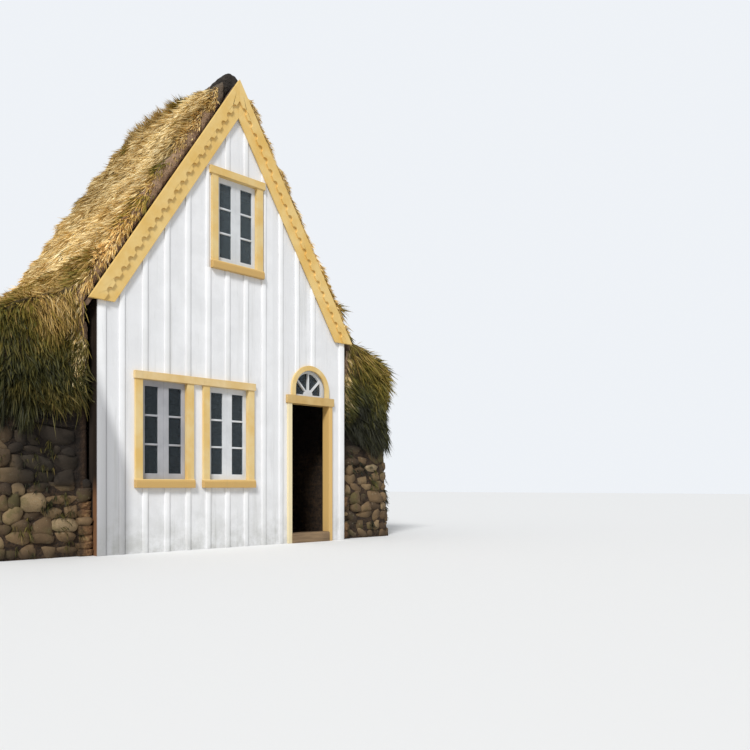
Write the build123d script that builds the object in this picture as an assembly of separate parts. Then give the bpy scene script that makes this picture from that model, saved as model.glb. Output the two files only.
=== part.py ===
"""Gable-fronted turf house: a boarded timber front between two stone-and-turf party walls.

Millimetres, +Z up. X runs along the front (left to right as seen from outside), Y runs from
the front to the back. The origin is the middle of the house at ground level.
"""

from build123d import *
import os
from math import cos, radians, sin, tan

# Main house
FRONT_WIDTH = 3800.0          # boarded front, corner to corner
FRONT_THICKNESS = 110.0       # boards, studs and lining together
ROOF_DEPTH = 3200.0           # front verge to rear verge, along the ridge
ROOF_PITCH = 58.0             # degrees
STOREY_HEIGHT = 2700.0        # ground to the underside of the loft boards
EAVE_RISE = 389.4             # roof boards over that, at the corner of the front
FIT = 0.3                     # clearance between neighbouring pieces
SETTING = 1.0                 # clearance of frames and floors set into an opening

# Roof boards and turf
BOARD_THICKNESS = 28.0
VERGE = 20.0                  # roof boards stand this far in front of the boarded front
EAVE_REACH = 110.0            # roof boards run this far past the corner of the front
TURF_THICKNESS = 150.0        # square to the slope
TURF_SETBACK = 60.0           # turf ends this far behind the verge
TURF_ROUNDING = 45.0          # worn edge of the turf at the verges
SOD_COURSE = 480.0            # about the width of a course of sods, up the slope
SOD_CROWN = 45.0              # a course bulges this much, with its grass
SOD_BEDDING = 15.0            # a course is sunk this far into the turf below
RIDGE_HALF = 150.0            # half the width of the ridge sods
RIDGE_CROWN = 170.0           # ridge sods rise this far over the roof boards
RIDGE_BLOCK_LENGTH = 500.0    # dark block that weighs down the front end of the ridge
RIDGE_BLOCK_RISE = 20.0       # how far it stands over the ridge sods

# Stone-and-turf walls
PARTY_WALL_FOOT = 1175.0      # thickness on the ground
PARTY_WALL_TOP = 1040.0       # thickness under the turf
PARTY_WALL_FALL = 260.0       # the top slopes down this much to its outer edge
PARTY_WALL_SETBACK = 140.0    # front end behind the boarded front
PARTY_WALL_GAP = 25.0         # beside the corner boards
WALL_END_LEAN = 60.0          # front ends lean back this much
OUTER_ROUNDING = 260.0        # rounded outer corners in plan
INNER_ROUNDING = 70.0
REAR_WALL_THICKNESS = 700.0   # at the top
REAR_WALL_BATTER = 80.0
REAR_WALL_LEDGE = 60.0        # in front of the rear gable boards
CAP_OVERHANG = 90.0           # turf over the outer edge of a party wall
CAP_LIP = 30.0                # turf in front of a party wall's end
CAP_THICKNESS = 230.0         # turf at the outer edge of a party wall
CAP_JOIN = 20.0               # turf over the wall starts this far past the roof boards
CAP_PITCH = 25.0              # degrees, upper side of the turf over the wall
FLARE_RADIUS = 900.0          # hollow bend from the slope to the wall's turf
LIP_RADIUS = 100.0            # outer edge of the wall's turf
HANG_DROP = 950.0             # turf hangs this far down the walls' outer faces
HANG_TOP = 75.0               # its thickness above
HANG_FOOT = 30.0              # its thickness at the lower edge
LEDGE_SOD = 120.0             # sods on the rear wall, against the gable boards

# Timber frame
POST = 120.0
PLATE = 120.0
RAFTER_DEPTH = 125.0
RAFTER_WIDTH = 80.0
TIE_BEAM_DEPTH = 140.0
COLLAR_DEPTH = 110.0
COLLAR_DROP = 1430.0          # underside of the collar beams below the ridge
RAFTER_SEAT = 95.0            # rafter's level seat on the plate
LOFT_BOARDS = 30.0
GROUND_FLOOR = 100.0
FRAME_COUNT = 3

# Bargeboards
BARGE_WIDTH = 265.0
BARGE_LIP = 20.0              # over the roof boards
BARGE_THICKNESS = 25.0
BARGE_REACH = 117.0           # outer end of its level cut, past the corner of the front
TRIM_WIDTH = 150.0
TRIM_THICKNESS = 25.0
NOTCH_PITCH = 160.0
NOTCH_RADIUS = 42.0
REAR_BARGE_WIDTH = 200.0

# Windows
WINDOW_DAYLIGHT = 595.0       # width between the casings
WINDOW_HEIGHT = 1197.0        # sill to head board
WINDOW_SILL_Z = 888.0
WINDOW_GAP = 134.0            # between the casings of the two lower windows
WINDOW_MARGIN = 454.5         # from the left corner of the front to the first casing
GABLE_DAYLIGHT = 610.0
GABLE_WINDOW_HEIGHT = 1110.0
GABLE_WINDOW_DROP = 54.0      # its head board below the bargeboards
CASING_WIDTH = 95.0
CASING_THICKNESS = 35.0
LINING = 30.0                 # frame board inside the wall opening
LINING_SHORT = 5.0            # lining ends this far before the wall's inner face
HEAD_BOARD_HEIGHT = 95.0
HEAD_BOARD_REACH = 30.0       # past the casings of the gable windows
LONG_BOARD_REACH = 12.0       # past the casings of the two lower windows
HEAD_BOARD_THICKNESS = 50.0
SILL_HEIGHT = 105.0
SILL_REACH = 5.0
SILL_THICKNESS = 65.0
SILL_SLOPE = 15.0             # fall of the sill's top
SASH_RECESS = 25.0            # sash behind the boarded face
SASH_THICKNESS = 40.0
SASH_STILE = 52.0
SASH_MEETING_STILE = 72.0
SASH_RAIL = 70.0
GLASS_THICKNESS = 5.0

# Doorway and fanlight
DOOR_MARGIN = 660.0           # middle of the doorway to the right corner of the front
DOOR_WIDTH = 680.0            # clear opening
OVER_ARCH = 165.0             # wall over the arch, up to the loft
DOOR_LINING = 40.0
DOOR_CASING = 70.0
THRESHOLD_HEIGHT = 140.0
THRESHOLD_REACH = 50.0
HOOD_HEIGHT = 115.0
HOOD_REACH = 20.0             # past the door casings
HOOD_THICKNESS = 50.0
ARCH_STILT = 100.0            # straight part below the half round
ARCH_CASING = 70.0
ARCH_COVER = 20.0             # casing over the edge of the arched hole
FANLIGHT_INSET = 45.0         # arched hole narrower than the doorway, each side
FANLIGHT_RIM = 55.0
FANLIGHT_RAIL = 30.0          # bottom rail, under the stilt's height
FANLIGHT_HUB = 75.0           # half round on the bottom rail
FANLIGHT_BAR = 22.0
FANLIGHT_BARS = 3
FANLIGHT_THICKNESS = 36.0

# Worked-out places
SLOPE = tan(radians(ROOF_PITCH))
LEVEL = cos(radians(ROOF_PITCH))
HALF_FRONT = FRONT_WIDTH / 2
RIDGE_HEIGHT = STOREY_HEIGHT + EAVE_RISE + SLOPE * HALF_FRONT
PARTY_WALL_HEIGHT = STOREY_HEIGHT
COLLAR_HEIGHT = RIDGE_HEIGHT - COLLAR_DROP
DOOR_X = HALF_FRONT - DOOR_MARGIN
FANLIGHT_RADIUS = DOOR_WIDTH / 2 - FANLIGHT_INSET
ARCH_INNER = FANLIGHT_RADIUS - ARCH_COVER
ARCH_OUTER = ARCH_INNER + ARCH_CASING
DOOR_HEAD_Z = STOREY_HEIGHT - OVER_ARCH - ARCH_OUTER - ARCH_STILT - HOOD_HEIGHT
WINDOW_WIDTH = WINDOW_DAYLIGHT + 2 * CASING_WIDTH
LINING_DEPTH = FRONT_THICKNESS - LINING_SHORT
FRONT_REACH = VERGE + BARGE_THICKNESS + TRIM_THICKNESS
REAR_REACH = REAR_WALL_LEDGE + REAR_WALL_BATTER
REAR_PLANE_OFFSET = ROOF_DEPTH - VERGE
FRONT_Y = -(REAR_PLANE_OFFSET + REAR_REACH - FRONT_REACH) / 2
FRONT_BACK_Y = FRONT_Y + FRONT_THICKNESS
VERGE_Y = FRONT_Y - VERGE
REAR_Y = FRONT_Y + REAR_PLANE_OFFSET
REAR_TOP_Y = REAR_Y + REAR_WALL_LEDGE
REAR_FOOT_Y = REAR_Y + REAR_REACH
REAR_INNER_Y = REAR_TOP_Y - REAR_WALL_THICKNESS
WALL_INNER_X = HALF_FRONT + PARTY_WALL_GAP
HANG_FOOT_Z = PARTY_WALL_HEIGHT - HANG_DROP
EAVE_X = HALF_FRONT + EAVE_REACH
POST_OUTER_X = HALF_FRONT - 5.0
POST_INNER_X = POST_OUTER_X - POST
FRAME_STEP = (REAR_INNER_Y - FRONT_BACK_Y - POST) / (FRAME_COUNT - 1)
FRAME_Y = [FRONT_BACK_Y + POST / 2 + FRAME_STEP * i for i in range(FRAME_COUNT)]


def block(x0, x1, y0, y1, z0, z1):
    """A squared piece between two corners."""
    return Pos((x0 + x1) / 2, (y0 + y1) / 2, (z0 + z1) / 2) * Box(x1 - x0, y1 - y0, z1 - z0)


def upright(outline, y0, y1):
    """A piece cut to an outline in X and Z, from y0 back to y1."""
    face = Plane.XZ * make_face(outline)
    return Pos(0, y0, 0) * extrude(face, amount=y1 - y0, dir=(0, 1, 0))


def sideways(outline, x0, x1):
    """A piece cut to an outline in Y and Z, from x0 across to x1."""
    face = Plane.YZ * make_face(outline)
    return Pos(x0, 0, 0) * extrude(face, amount=x1 - x0, dir=(1, 0, 0))


def polygon(points):
    """A closed outline through points (x, z)."""
    return Polyline(*points, close=True)


def mirrored(points, side):
    """The points on the left (-1) or right (+1) half of the house."""
    return [(side * x, z) for x, z in points]


def rake_z(x, offset=0.0):
    """Height of a line parallel to the roof, offset square to the roof boards' top."""
    return RIDGE_HEIGHT + offset / LEVEL - SLOPE * abs(x)


def rake_x(z, offset=0.0):
    """Distance from the middle at which that line has height z."""
    return (RIDGE_HEIGHT + offset / LEVEL - z) / SLOPE


RAFTER_UNDER = -(BOARD_THICKNESS + FIT + RAFTER_DEPTH)
PLATE_TOP = rake_z(POST_OUTER_X - RAFTER_SEAT, RAFTER_UNDER)
BARGE_CUT = rake_z(HALF_FRONT + BARGE_REACH, BARGE_LIP)
GABLE_HEAD_X = GABLE_DAYLIGHT / 2 + CASING_WIDTH + HEAD_BOARD_REACH
GABLE_HEAD_TOP = rake_z(GABLE_HEAD_X, BARGE_LIP - BARGE_WIDTH) - GABLE_WINDOW_DROP
GABLE_SILL_Z = GABLE_HEAD_TOP - HEAD_BOARD_HEIGHT - GABLE_WINDOW_HEIGHT


def party_top_z(x):
    """Height of the sloping top of a party wall at distance x from the middle."""
    return PARTY_WALL_HEIGHT - PARTY_WALL_FALL * (abs(x) - WALL_INNER_X) / PARTY_WALL_TOP


def plan(x0, x1, y0, y1, side, z):
    """A rectangle at height z, x0 beside the house and x1 outside."""
    x0, x1 = sorted((side * x0, side * x1))
    return Pos((x0 + x1) / 2, (y0 + y1) / 2, z) * Rectangle(x1 - x0, y1 - y0)


def steep_edges(shape, x, y, reach):
    """Edges that run up the shape near a place in plan."""
    return [edge for edge in shape.edges()
            if edge.bounding_box().size.Z > reach / 4
            and abs(edge.center().X - x) < reach and abs(edge.center().Y - y) < reach]


def rear_face_y(z, out=0.0):
    """Place of the leaning rear face at height z, or of a line that far outside it."""
    return REAR_FOOT_Y - REAR_WALL_BATTER * z / PARTY_WALL_HEIGHT + out


def battered(side, z0, z1, out0, out1):
    """Body of a party wall between two heights, its outer faces moved out by out0 below and out1 above."""
    lean = (PARTY_WALL_FOOT - PARTY_WALL_TOP) / PARTY_WALL_HEIGHT
    outer = [WALL_INNER_X + PARTY_WALL_FOOT - lean * z + out for z, out in ((z0, out0), (z1, out1))]
    front = [FRONT_Y + PARTY_WALL_SETBACK + WALL_END_LEAN * z / PARTY_WALL_HEIGHT - out
             for z, out in ((z0, out0), (z1, out1))]
    rear = [rear_face_y(z0, out0), rear_face_y(z1, out1)]
    across = [(WALL_INNER_X, z0), (outer[0], z0), (outer[1], z1), (WALL_INNER_X, z1)]
    along = [(front[0], z0), (rear[0], z0), (rear[1], z1), (front[1], z1)]
    body = upright(polygon(mirrored(across, side)), min(front), max(rear))
    body &= sideways(polygon(along), *sorted((side * WALL_INNER_X, side * max(outer))))
    corners = [edge for y in (front[0], rear[0])
               for edge in steep_edges(body, side * outer[0], y, OUTER_ROUNDING)]
    return fillet(corners, OUTER_ROUNDING)


def over_party_wall(side, rise):
    """Everything over the sloping top of a party wall, from rise above it."""
    near = WALL_INNER_X - SETTING
    far = WALL_INNER_X + PARTY_WALL_FOOT + PARTY_WALL_TOP
    points = [(near, party_top_z(near) + rise), (far, party_top_z(far) + rise),
              (far, PARTY_WALL_HEIGHT * 2), (near, PARTY_WALL_HEIGHT * 2)]
    return upright(polygon(mirrored(points, side)), FRONT_Y, REAR_FOOT_Y + POST)


def party_wall(side):
    """Battered wall of stone and turf beside the house, with its top sloping outwards."""
    wall = battered(side, 0, PARTY_WALL_HEIGHT, 0, 0)
    inner = steep_edges(wall, side * WALL_INNER_X, FRONT_Y + PARTY_WALL_SETBACK, OUTER_ROUNDING)
    return fillet(inner, INNER_ROUNDING) - over_party_wall(side, 0)


def rear_wall():
    """Stone wall across the back, up to the foot of the rear gable."""
    section = polygon([(REAR_INNER_Y, 0), (REAR_FOOT_Y, 0), (REAR_TOP_Y, PARTY_WALL_HEIGHT),
                       (REAR_INNER_Y, PARTY_WALL_HEIGHT)])
    return sideways(section, -WALL_INNER_X, WALL_INNER_X)


def door_opening_half():
    """Half the width of the hole in the boarded front for the door frame."""
    return DOOR_WIDTH / 2 + DOOR_LINING + SETTING


def window_hole(x, sill_z, width, height, y0, y1):
    """The hole that a window frame stands in."""
    reach = width / 2 + LINING + SETTING
    return block(x - reach, x + reach, y0, y1, sill_z - LINING - SETTING,
                 sill_z + height + LINING + SETTING)


def window_places():
    """Middle of the left and the right lower window."""
    left = -HALF_FRONT + WINDOW_MARGIN + WINDOW_WIDTH / 2
    return left, left + WINDOW_WIDTH + WINDOW_GAP


def front_wall_left():
    """Boarded wall left of the doorway, with the two lower windows cut through."""
    wall = block(-HALF_FRONT, DOOR_X - door_opening_half(), FRONT_Y, FRONT_BACK_Y, 0, STOREY_HEIGHT)
    for x in window_places():
        wall -= window_hole(x, WINDOW_SILL_Z, WINDOW_DAYLIGHT, WINDOW_HEIGHT,
                            FRONT_Y - 1, FRONT_BACK_Y + 1)
    return wall


def front_wall_right():
    """Narrow strip of wall right of the doorway."""
    return block(DOOR_X + door_opening_half(), HALF_FRONT, FRONT_Y, FRONT_BACK_Y, 0, STOREY_HEIGHT)


def arch_outline(radius, foot_z):
    """Half round on straight legs that end at foot_z, centred on the doorway."""
    spring = DOOR_HEAD_Z + HOOD_HEIGHT + ARCH_STILT
    left = DOOR_X - radius
    right = DOOR_X + radius
    return [
        Line((left, foot_z), (left, spring)),
        ThreePointArc((left, spring), (DOOR_X, spring + radius), (right, spring)),
        Line((right, spring), (right, foot_z)),
        Line((right, foot_z), (left, foot_z)),
    ]


def front_wall_over_door():
    """Wall over the doorway, with the arched hole of the fanlight."""
    foot = DOOR_HEAD_Z + HOOD_HEIGHT
    half = door_opening_half() - SETTING
    wall = block(DOOR_X - half, DOOR_X + half, FRONT_Y, FRONT_BACK_Y, foot, STOREY_HEIGHT)
    return wall - upright(arch_outline(FANLIGHT_RADIUS, foot - 1), FRONT_Y - 1, FRONT_BACK_Y + 1)


def gable_outline(foot_z, half_width):
    """Gable from its foot up to the underside of the roof boards."""
    under = -(BOARD_THICKNESS + FIT)
    return polygon([(-half_width, foot_z), (half_width, foot_z), (half_width, rake_z(half_width, under)),
                    (0, rake_z(0, under)), (-half_width, rake_z(half_width, under))])


def front_gable():
    """Boarded gable over the ground storey, with its window cut through."""
    gable = upright(gable_outline(STOREY_HEIGHT, HALF_FRONT), FRONT_Y, FRONT_BACK_Y)
    return gable - window_hole(0, GABLE_SILL_Z, GABLE_DAYLIGHT, GABLE_WINDOW_HEIGHT,
                               FRONT_Y - 1, FRONT_BACK_Y + 1)


def rear_gable():
    """Boarded gable that stands on the rear wall."""
    inner_y = REAR_Y - VERGE - FRONT_THICKNESS
    outer_y = REAR_Y - VERGE
    gable = upright(gable_outline(PARTY_WALL_HEIGHT, HALF_FRONT), inner_y, outer_y)
    return gable - window_hole(0, GABLE_SILL_Z, GABLE_DAYLIGHT, GABLE_WINDOW_HEIGHT,
                               inner_y - 1, outer_y + 1)


def roof_boards(side):
    """One slope of roof boarding, from the ridge to just past the wall."""
    points = [(FIT, rake_z(FIT)), (EAVE_X, rake_z(EAVE_X)), (EAVE_X, rake_z(EAVE_X, -BOARD_THICKNESS)),
              (FIT, rake_z(FIT, -BOARD_THICKNESS))]
    return upright(polygon(mirrored(points, side)), VERGE_Y, REAR_Y)


def turf_lip_x():
    """Outer edge of the turf over a party wall."""
    return WALL_INNER_X + PARTY_WALL_TOP + CAP_OVERHANG


def turf_section(side):
    """Outline of the turf on one side, from the ridge sods to the outer lip."""
    lip_x = turf_lip_x()
    seat_x = lip_x - CAP_OVERHANG / 2
    step_x = EAVE_X + FIT
    ridge_x = RIDGE_HALF + FIT
    lip_top = (lip_x, party_top_z(lip_x) + CAP_THICKNESS)
    bend = (flare_x(), rake_z(flare_x(), TURF_THICKNESS))
    crest = (ridge_x, rake_z(ridge_x, TURF_THICKNESS))
    drop = (lip_x, party_top_z(lip_x) - CAP_THICKNESS / 4)
    upper = FilletPolyline(*mirrored([crest, bend, lip_top, drop], side), radius=[FLARE_RADIUS, LIP_RADIUS])
    seat = (seat_x, party_top_z(seat_x) + FIT)
    step = (step_x, party_top_z(step_x) + FIT)
    lower = Polyline(*mirrored([drop, seat, step, (step_x, rake_z(step_x, FIT)),
                                (ridge_x, rake_z(ridge_x, FIT)), crest], side))
    return [upper, lower]


def flare_x():
    """Where the slope of the turf meets the flatter turf over the wall."""
    lip_x = turf_lip_x()
    fall = tan(radians(CAP_PITCH))
    lip_z = party_top_z(lip_x) + CAP_THICKNESS
    return (rake_z(0, TURF_THICKNESS) - lip_z - fall * lip_x) / (SLOPE - fall)


def sod_courses(side, y0, y1):
    """Courses of sods laid across the slope, each a shallow swell on the turf."""
    tangent = FLARE_RADIUS * tan(radians(ROOF_PITCH - CAP_PITCH) / 2)
    top_x = RIDGE_HALF + FIT
    foot_x = flare_x() - tangent * LEVEL
    count = max(1, round((foot_x - top_x) / LEVEL / SOD_COURSE))
    step = (foot_x - top_x) / count
    courses = []
    for i in range(count):
        x0 = top_x + step * i
        x1 = x0 + step
        bed = TURF_THICKNESS - SOD_BEDDING
        middle = (x0 + x1) / 2 + (SOD_CROWN + SOD_BEDDING) * sin(radians(ROOF_PITCH))
        swell = mirrored([(x0, rake_z(x0, bed)), (middle, rake_z(middle, TURF_THICKNESS + SOD_CROWN)),
                          (x1, rake_z(x1, bed))], side)
        courses.append(upright([ThreePointArc(*swell), Line(swell[2], swell[0])], y0, y1))
    return courses


def hanging_turf(side):
    """Turf that hangs down the three outer faces of a party wall, thinner below."""
    top_z = PARTY_WALL_HEIGHT + CAP_JOIN
    hang = battered(side, HANG_FOOT_Z, top_z, HANG_FOOT, HANG_TOP)
    hang -= battered(side, HANG_FOOT_Z - CAP_JOIN, top_z + CAP_JOIN, FIT, FIT)
    return hang - over_party_wall(side, CAP_JOIN)


def turf_slope(side):
    """Turf of one slope: a thick blanket in courses that flares out over the party wall and hangs down it."""
    front = VERGE_Y + TURF_SETBACK
    back = REAR_Y - TURF_SETBACK
    cap_front = FRONT_Y + PARTY_WALL_SETBACK - CAP_LIP
    cap_back = REAR_TOP_Y + CAP_LIP
    join_x = EAVE_X + CAP_JOIN
    section = turf_section(side)
    blanket = upright(section, front, back)
    blanket &= block(*sorted((0, side * (join_x + CAP_JOIN))), front, back, 0, RIDGE_HEIGHT * 2)
    worn = [edge for face_y in (front, back) for edge in blanket.edges().filter_by_position(
        Axis.Y, face_y - 1, face_y + 1) if edge.center().Z > rake_z(edge.center().X, TURF_THICKNESS / 2)]
    blanket = fillet(worn, TURF_ROUNDING)
    column = extrude(plan(join_x, turf_lip_x(), cap_front, cap_back, side, 0), amount=RIDGE_HEIGHT)
    corners = steep_edges(column, side * turf_lip_x(), cap_front, OUTER_ROUNDING)
    corners += steep_edges(column, side * turf_lip_x(), cap_back, OUTER_ROUNDING)
    cap = upright(section, cap_front, cap_back) & fillet(corners, OUTER_ROUNDING)
    turf = blanket + cap + hanging_turf(side)
    for course in sod_courses(side, front + TURF_ROUNDING, back - TURF_ROUNDING):
        turf += course
    return turf


def rear_turf():
    """Sods on the ledge of the rear wall, which hang down its face between the party walls."""
    gable_y = REAR_Y - VERGE + FIT
    seat_z = PARTY_WALL_HEIGHT + FIT
    section = polygon([
        (gable_y, seat_z), (rear_face_y(PARTY_WALL_HEIGHT, FIT), seat_z),
        (rear_face_y(HANG_FOOT_Z, FIT), HANG_FOOT_Z), (rear_face_y(HANG_FOOT_Z, HANG_FOOT), HANG_FOOT_Z),
        (rear_face_y(PARTY_WALL_HEIGHT, HANG_TOP), seat_z), (gable_y, seat_z + LEDGE_SOD)])
    return sideways(section, FIT - WALL_INNER_X, WALL_INNER_X - FIT)


def ridge_outline(crown):
    """Ridge sods: a saddle under a rounded back."""
    shoulder = rake_z(RIDGE_HALF, TURF_THICKNESS)
    return [
        Line((0, rake_z(0, FIT)), (RIDGE_HALF, rake_z(RIDGE_HALF, FIT))),
        Line((RIDGE_HALF, rake_z(RIDGE_HALF, FIT)), (RIDGE_HALF, shoulder)),
        ThreePointArc((RIDGE_HALF, shoulder), (0, RIDGE_HEIGHT + crown), (-RIDGE_HALF, shoulder)),
        Line((-RIDGE_HALF, shoulder), (-RIDGE_HALF, rake_z(RIDGE_HALF, FIT))),
        Line((-RIDGE_HALF, rake_z(RIDGE_HALF, FIT)), (0, rake_z(0, FIT))),
    ]


def ridge_turf():
    """Sods along the ridge, behind the front block."""
    front = VERGE_Y + RIDGE_BLOCK_LENGTH + FIT
    return upright(ridge_outline(RIDGE_CROWN), front, REAR_Y - TURF_SETBACK)


def ridge_block():
    """Dark block on the front end of the ridge."""
    return upright(ridge_outline(RIDGE_CROWN + RIDGE_BLOCK_RISE), VERGE_Y + VERGE,
                   VERGE_Y + RIDGE_BLOCK_LENGTH)


def barge_band(upper, lower, side, y0, y1):
    """A board along one rake, cut level at the eaves and plumb at the ridge."""
    points = [(FIT, rake_z(FIT, upper)), (rake_x(BARGE_CUT, upper), BARGE_CUT),
              (rake_x(BARGE_CUT, lower), BARGE_CUT), (FIT, rake_z(FIT, lower))]
    return upright(polygon(mirrored(points, side)), y0, y1)


def bargeboard(side):
    """Wide lower board of the front verge."""
    return barge_band(BARGE_LIP, BARGE_LIP - BARGE_WIDTH, side, VERGE_Y - BARGE_THICKNESS, VERGE_Y)


def barge_trim(side):
    """Narrow board over the bargeboard, with half-round notches along its lower edge."""
    y1 = VERGE_Y - BARGE_THICKNESS
    y0 = y1 - TRIM_THICKNESS
    lower = BARGE_LIP - TRIM_WIDTH
    trim = barge_band(BARGE_LIP, lower, side, y0, y1)
    top_x = FIT
    end_x = rake_x(BARGE_CUT, lower)
    length = (end_x - top_x) / LEVEL
    count = int((length - NOTCH_PITCH / 2) / NOTCH_PITCH)
    start = (length - (count - 1) * NOTCH_PITCH) / 2
    for i in range(count):
        x = top_x + (start + i * NOTCH_PITCH) * LEVEL
        notch = Rot(90, 0, 0) * Cylinder(NOTCH_RADIUS, TRIM_THICKNESS * 4)
        trim -= Pos(side * x, y1, rake_z(x, lower)) * notch
    return trim


def rear_bargeboards():
    """Plain boards of the rear verge, joined at the ridge."""
    y0 = REAR_Y
    y1 = REAR_Y + BARGE_THICKNESS
    upper = BARGE_LIP
    lower = BARGE_LIP - REAR_BARGE_WIDTH
    points = [(0, rake_z(0, upper)), (rake_x(BARGE_CUT, upper), BARGE_CUT),
              (rake_x(BARGE_CUT, lower), BARGE_CUT), (0, rake_z(0, lower)),
              (-rake_x(BARGE_CUT, lower), BARGE_CUT), (-rake_x(BARGE_CUT, upper), BARGE_CUT)]
    return upright(polygon(points), y0, y1)


def posts(side):
    """Row of posts along one side, under the wall plate."""
    return Compound(children=[
        block(*sorted((side * POST_INNER_X, side * POST_OUTER_X)), y - POST / 2, y + POST / 2,
              0, PLATE_TOP - PLATE) for y in FRAME_Y])


def wall_plates():
    """Two plates that tie the posts and carry the rafters."""
    y0 = FRAME_Y[0] - POST / 2
    y1 = FRAME_Y[-1] + POST / 2
    return Compound(children=[
        block(*sorted((side * POST_INNER_X, side * POST_OUTER_X)), y0, y1, PLATE_TOP - PLATE, PLATE_TOP)
        for side in (-1, 1)])


def tie_beams():
    """Cross beams between the posts, under the loft boards."""
    return Compound(children=[
        block(-POST_INNER_X, POST_INNER_X, y - POST / 2, y + POST / 2,
              STOREY_HEIGHT - TIE_BEAM_DEPTH, STOREY_HEIGHT) for y in FRAME_Y])


def rafters(side):
    """Rafters of one slope, seated on the wall plate and meeting at the ridge."""
    upper = -(BOARD_THICKNESS + FIT)
    lower = RAFTER_UNDER
    foot = PLATE_TOP
    points = [(FIT, rake_z(FIT, upper)), (rake_x(foot, upper), foot), (rake_x(foot, lower), foot),
              (FIT, rake_z(FIT, lower))]
    return Compound(children=[
        upright(polygon(mirrored(points, side)), y - RAFTER_WIDTH / 2, y + RAFTER_WIDTH / 2)
        for y in FRAME_Y])


def collar_beams():
    """Level beams that tie each pair of rafters under the ridge."""
    under = RAFTER_UNDER - FIT
    top = COLLAR_HEIGHT + COLLAR_DEPTH
    points = [(-rake_x(COLLAR_HEIGHT, under), COLLAR_HEIGHT), (rake_x(COLLAR_HEIGHT, under), COLLAR_HEIGHT),
              (rake_x(top, under), top), (-rake_x(top, under), top)]
    return Compound(children=[
        upright(polygon(points), y - RAFTER_WIDTH / 2, y + RAFTER_WIDTH / 2) for y in FRAME_Y])


def loft_floor():
    """Loft boards on the tie beams."""
    half = POST_INNER_X - SETTING
    return block(-half, half, FRONT_BACK_Y + SETTING, REAR_INNER_Y - SETTING,
                 STOREY_HEIGHT, STOREY_HEIGHT + LOFT_BOARDS)


def ground_floor():
    """Boarded floor of the room."""
    half = POST_INNER_X - SETTING
    return block(-half, half, FRONT_BACK_Y, REAR_INNER_Y, 0, GROUND_FLOOR)


def threshold():
    """Worn step in the doorway."""
    half = DOOR_WIDTH / 2
    step = block(DOOR_X - half, DOOR_X + half, FRONT_Y - THRESHOLD_REACH, FRONT_BACK_Y, 0, THRESHOLD_HEIGHT)
    nose = step.edges().filter_by(Axis.X).group_by(Axis.Z)[-1].sort_by(Axis.Y)[0]
    return fillet(nose, THRESHOLD_REACH / 2)


def window_frame(x, sill_z, width, height, face_y, out, head):
    """Lining, casings and sill of one window; out is -1 for the front and +1 for the back."""
    def layer(x0, x1, depth0, depth1, z0, z1):
        """A squared piece between two depths behind the boarded face."""
        y0, y1 = sorted((face_y - out * depth0, face_y - out * depth1))
        return block(x0, x1, y0, y1, z0, z1)

    half = width / 2
    top = sill_z + height
    outer = half + CASING_WIDTH
    frame = layer(x - half - LINING, x + half + LINING, 0, LINING_DEPTH, sill_z - LINING, top + LINING)
    frame += layer(x - outer, x + outer, -CASING_THICKNESS, 0, sill_z - SILL_HEIGHT / 2, top)
    frame += layer(x - outer - SILL_REACH, x + outer + SILL_REACH, -SILL_THICKNESS, 0,
                   sill_z - SILL_HEIGHT, sill_z)
    if head:
        frame += layer(x - outer - HEAD_BOARD_REACH, x + outer + HEAD_BOARD_REACH, -HEAD_BOARD_THICKNESS,
                       0, top, top + HEAD_BOARD_HEIGHT)
    frame -= layer(x - half, x + half, -SILL_THICKNESS - 1, LINING_DEPTH + 1, sill_z, top)
    nose = frame.edges().filter_by(Axis.X).filter_by(
        lambda edge: abs(edge.center().Z - sill_z) < 1 and abs(edge.center().Y - face_y
                                                               - out * SILL_THICKNESS) < 1)
    return chamfer(nose, length=SILL_SLOPE, length2=SILL_THICKNESS - CASING_THICKNESS)


def sash_places(x, width):
    """Left and right edge of each of the two casements, and of its glass."""
    half = width / 2 - FIT
    left = (x - half, x - FIT, x - half + SASH_STILE, x - SASH_MEETING_STILE)
    right = (x + FIT, x + half, x + SASH_MEETING_STILE, x + half - SASH_STILE)
    return left, right


def depth_span(face_y, out, near, thickness):
    """Lowest and highest Y of a layer that starts near behind the boarded face."""
    return sorted((face_y - out * near, face_y - out * (near + thickness)))


def window_sashes(x, sill_z, width, height, face_y, out):
    """Two side-hung casements."""
    z0 = sill_z + FIT
    z1 = sill_z + height - FIT
    y0, y1 = depth_span(face_y, out, SASH_RECESS, SASH_THICKNESS)
    casements = []
    for x0, x1, glass0, glass1 in sash_places(x, width):
        casement = block(x0, x1, y0, y1, z0, z1)
        casement -= block(glass0, glass1, y0 - 1, y1 + 1, z0 + SASH_RAIL, z1 - SASH_RAIL)
        casements.append(casement)
    return Compound(children=casements)


def window_glass(x, sill_z, width, height, face_y, out):
    """One pane behind the bars of each casement."""
    z0 = sill_z + SASH_RAIL + 2 * FIT
    z1 = sill_z + height - SASH_RAIL - 2 * FIT
    near = SASH_RECESS + (SASH_THICKNESS - GLASS_THICKNESS) / 2
    y0, y1 = depth_span(face_y, out, near, GLASS_THICKNESS)
    return Compound(children=[
        block(glass0 + FIT, glass1 - FIT, y0, y1, z0, z1) for _, _, glass0, glass1 in sash_places(x, width)])


def window_head_board():
    """One head board over both lower windows."""
    left, right = window_places()
    reach = WINDOW_WIDTH / 2 + LONG_BOARD_REACH
    foot = WINDOW_SILL_Z + WINDOW_HEIGHT
    return block(left - reach, right + reach, FRONT_Y - HEAD_BOARD_THICKNESS, FRONT_Y,
                 foot, foot + HEAD_BOARD_HEIGHT)


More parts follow.
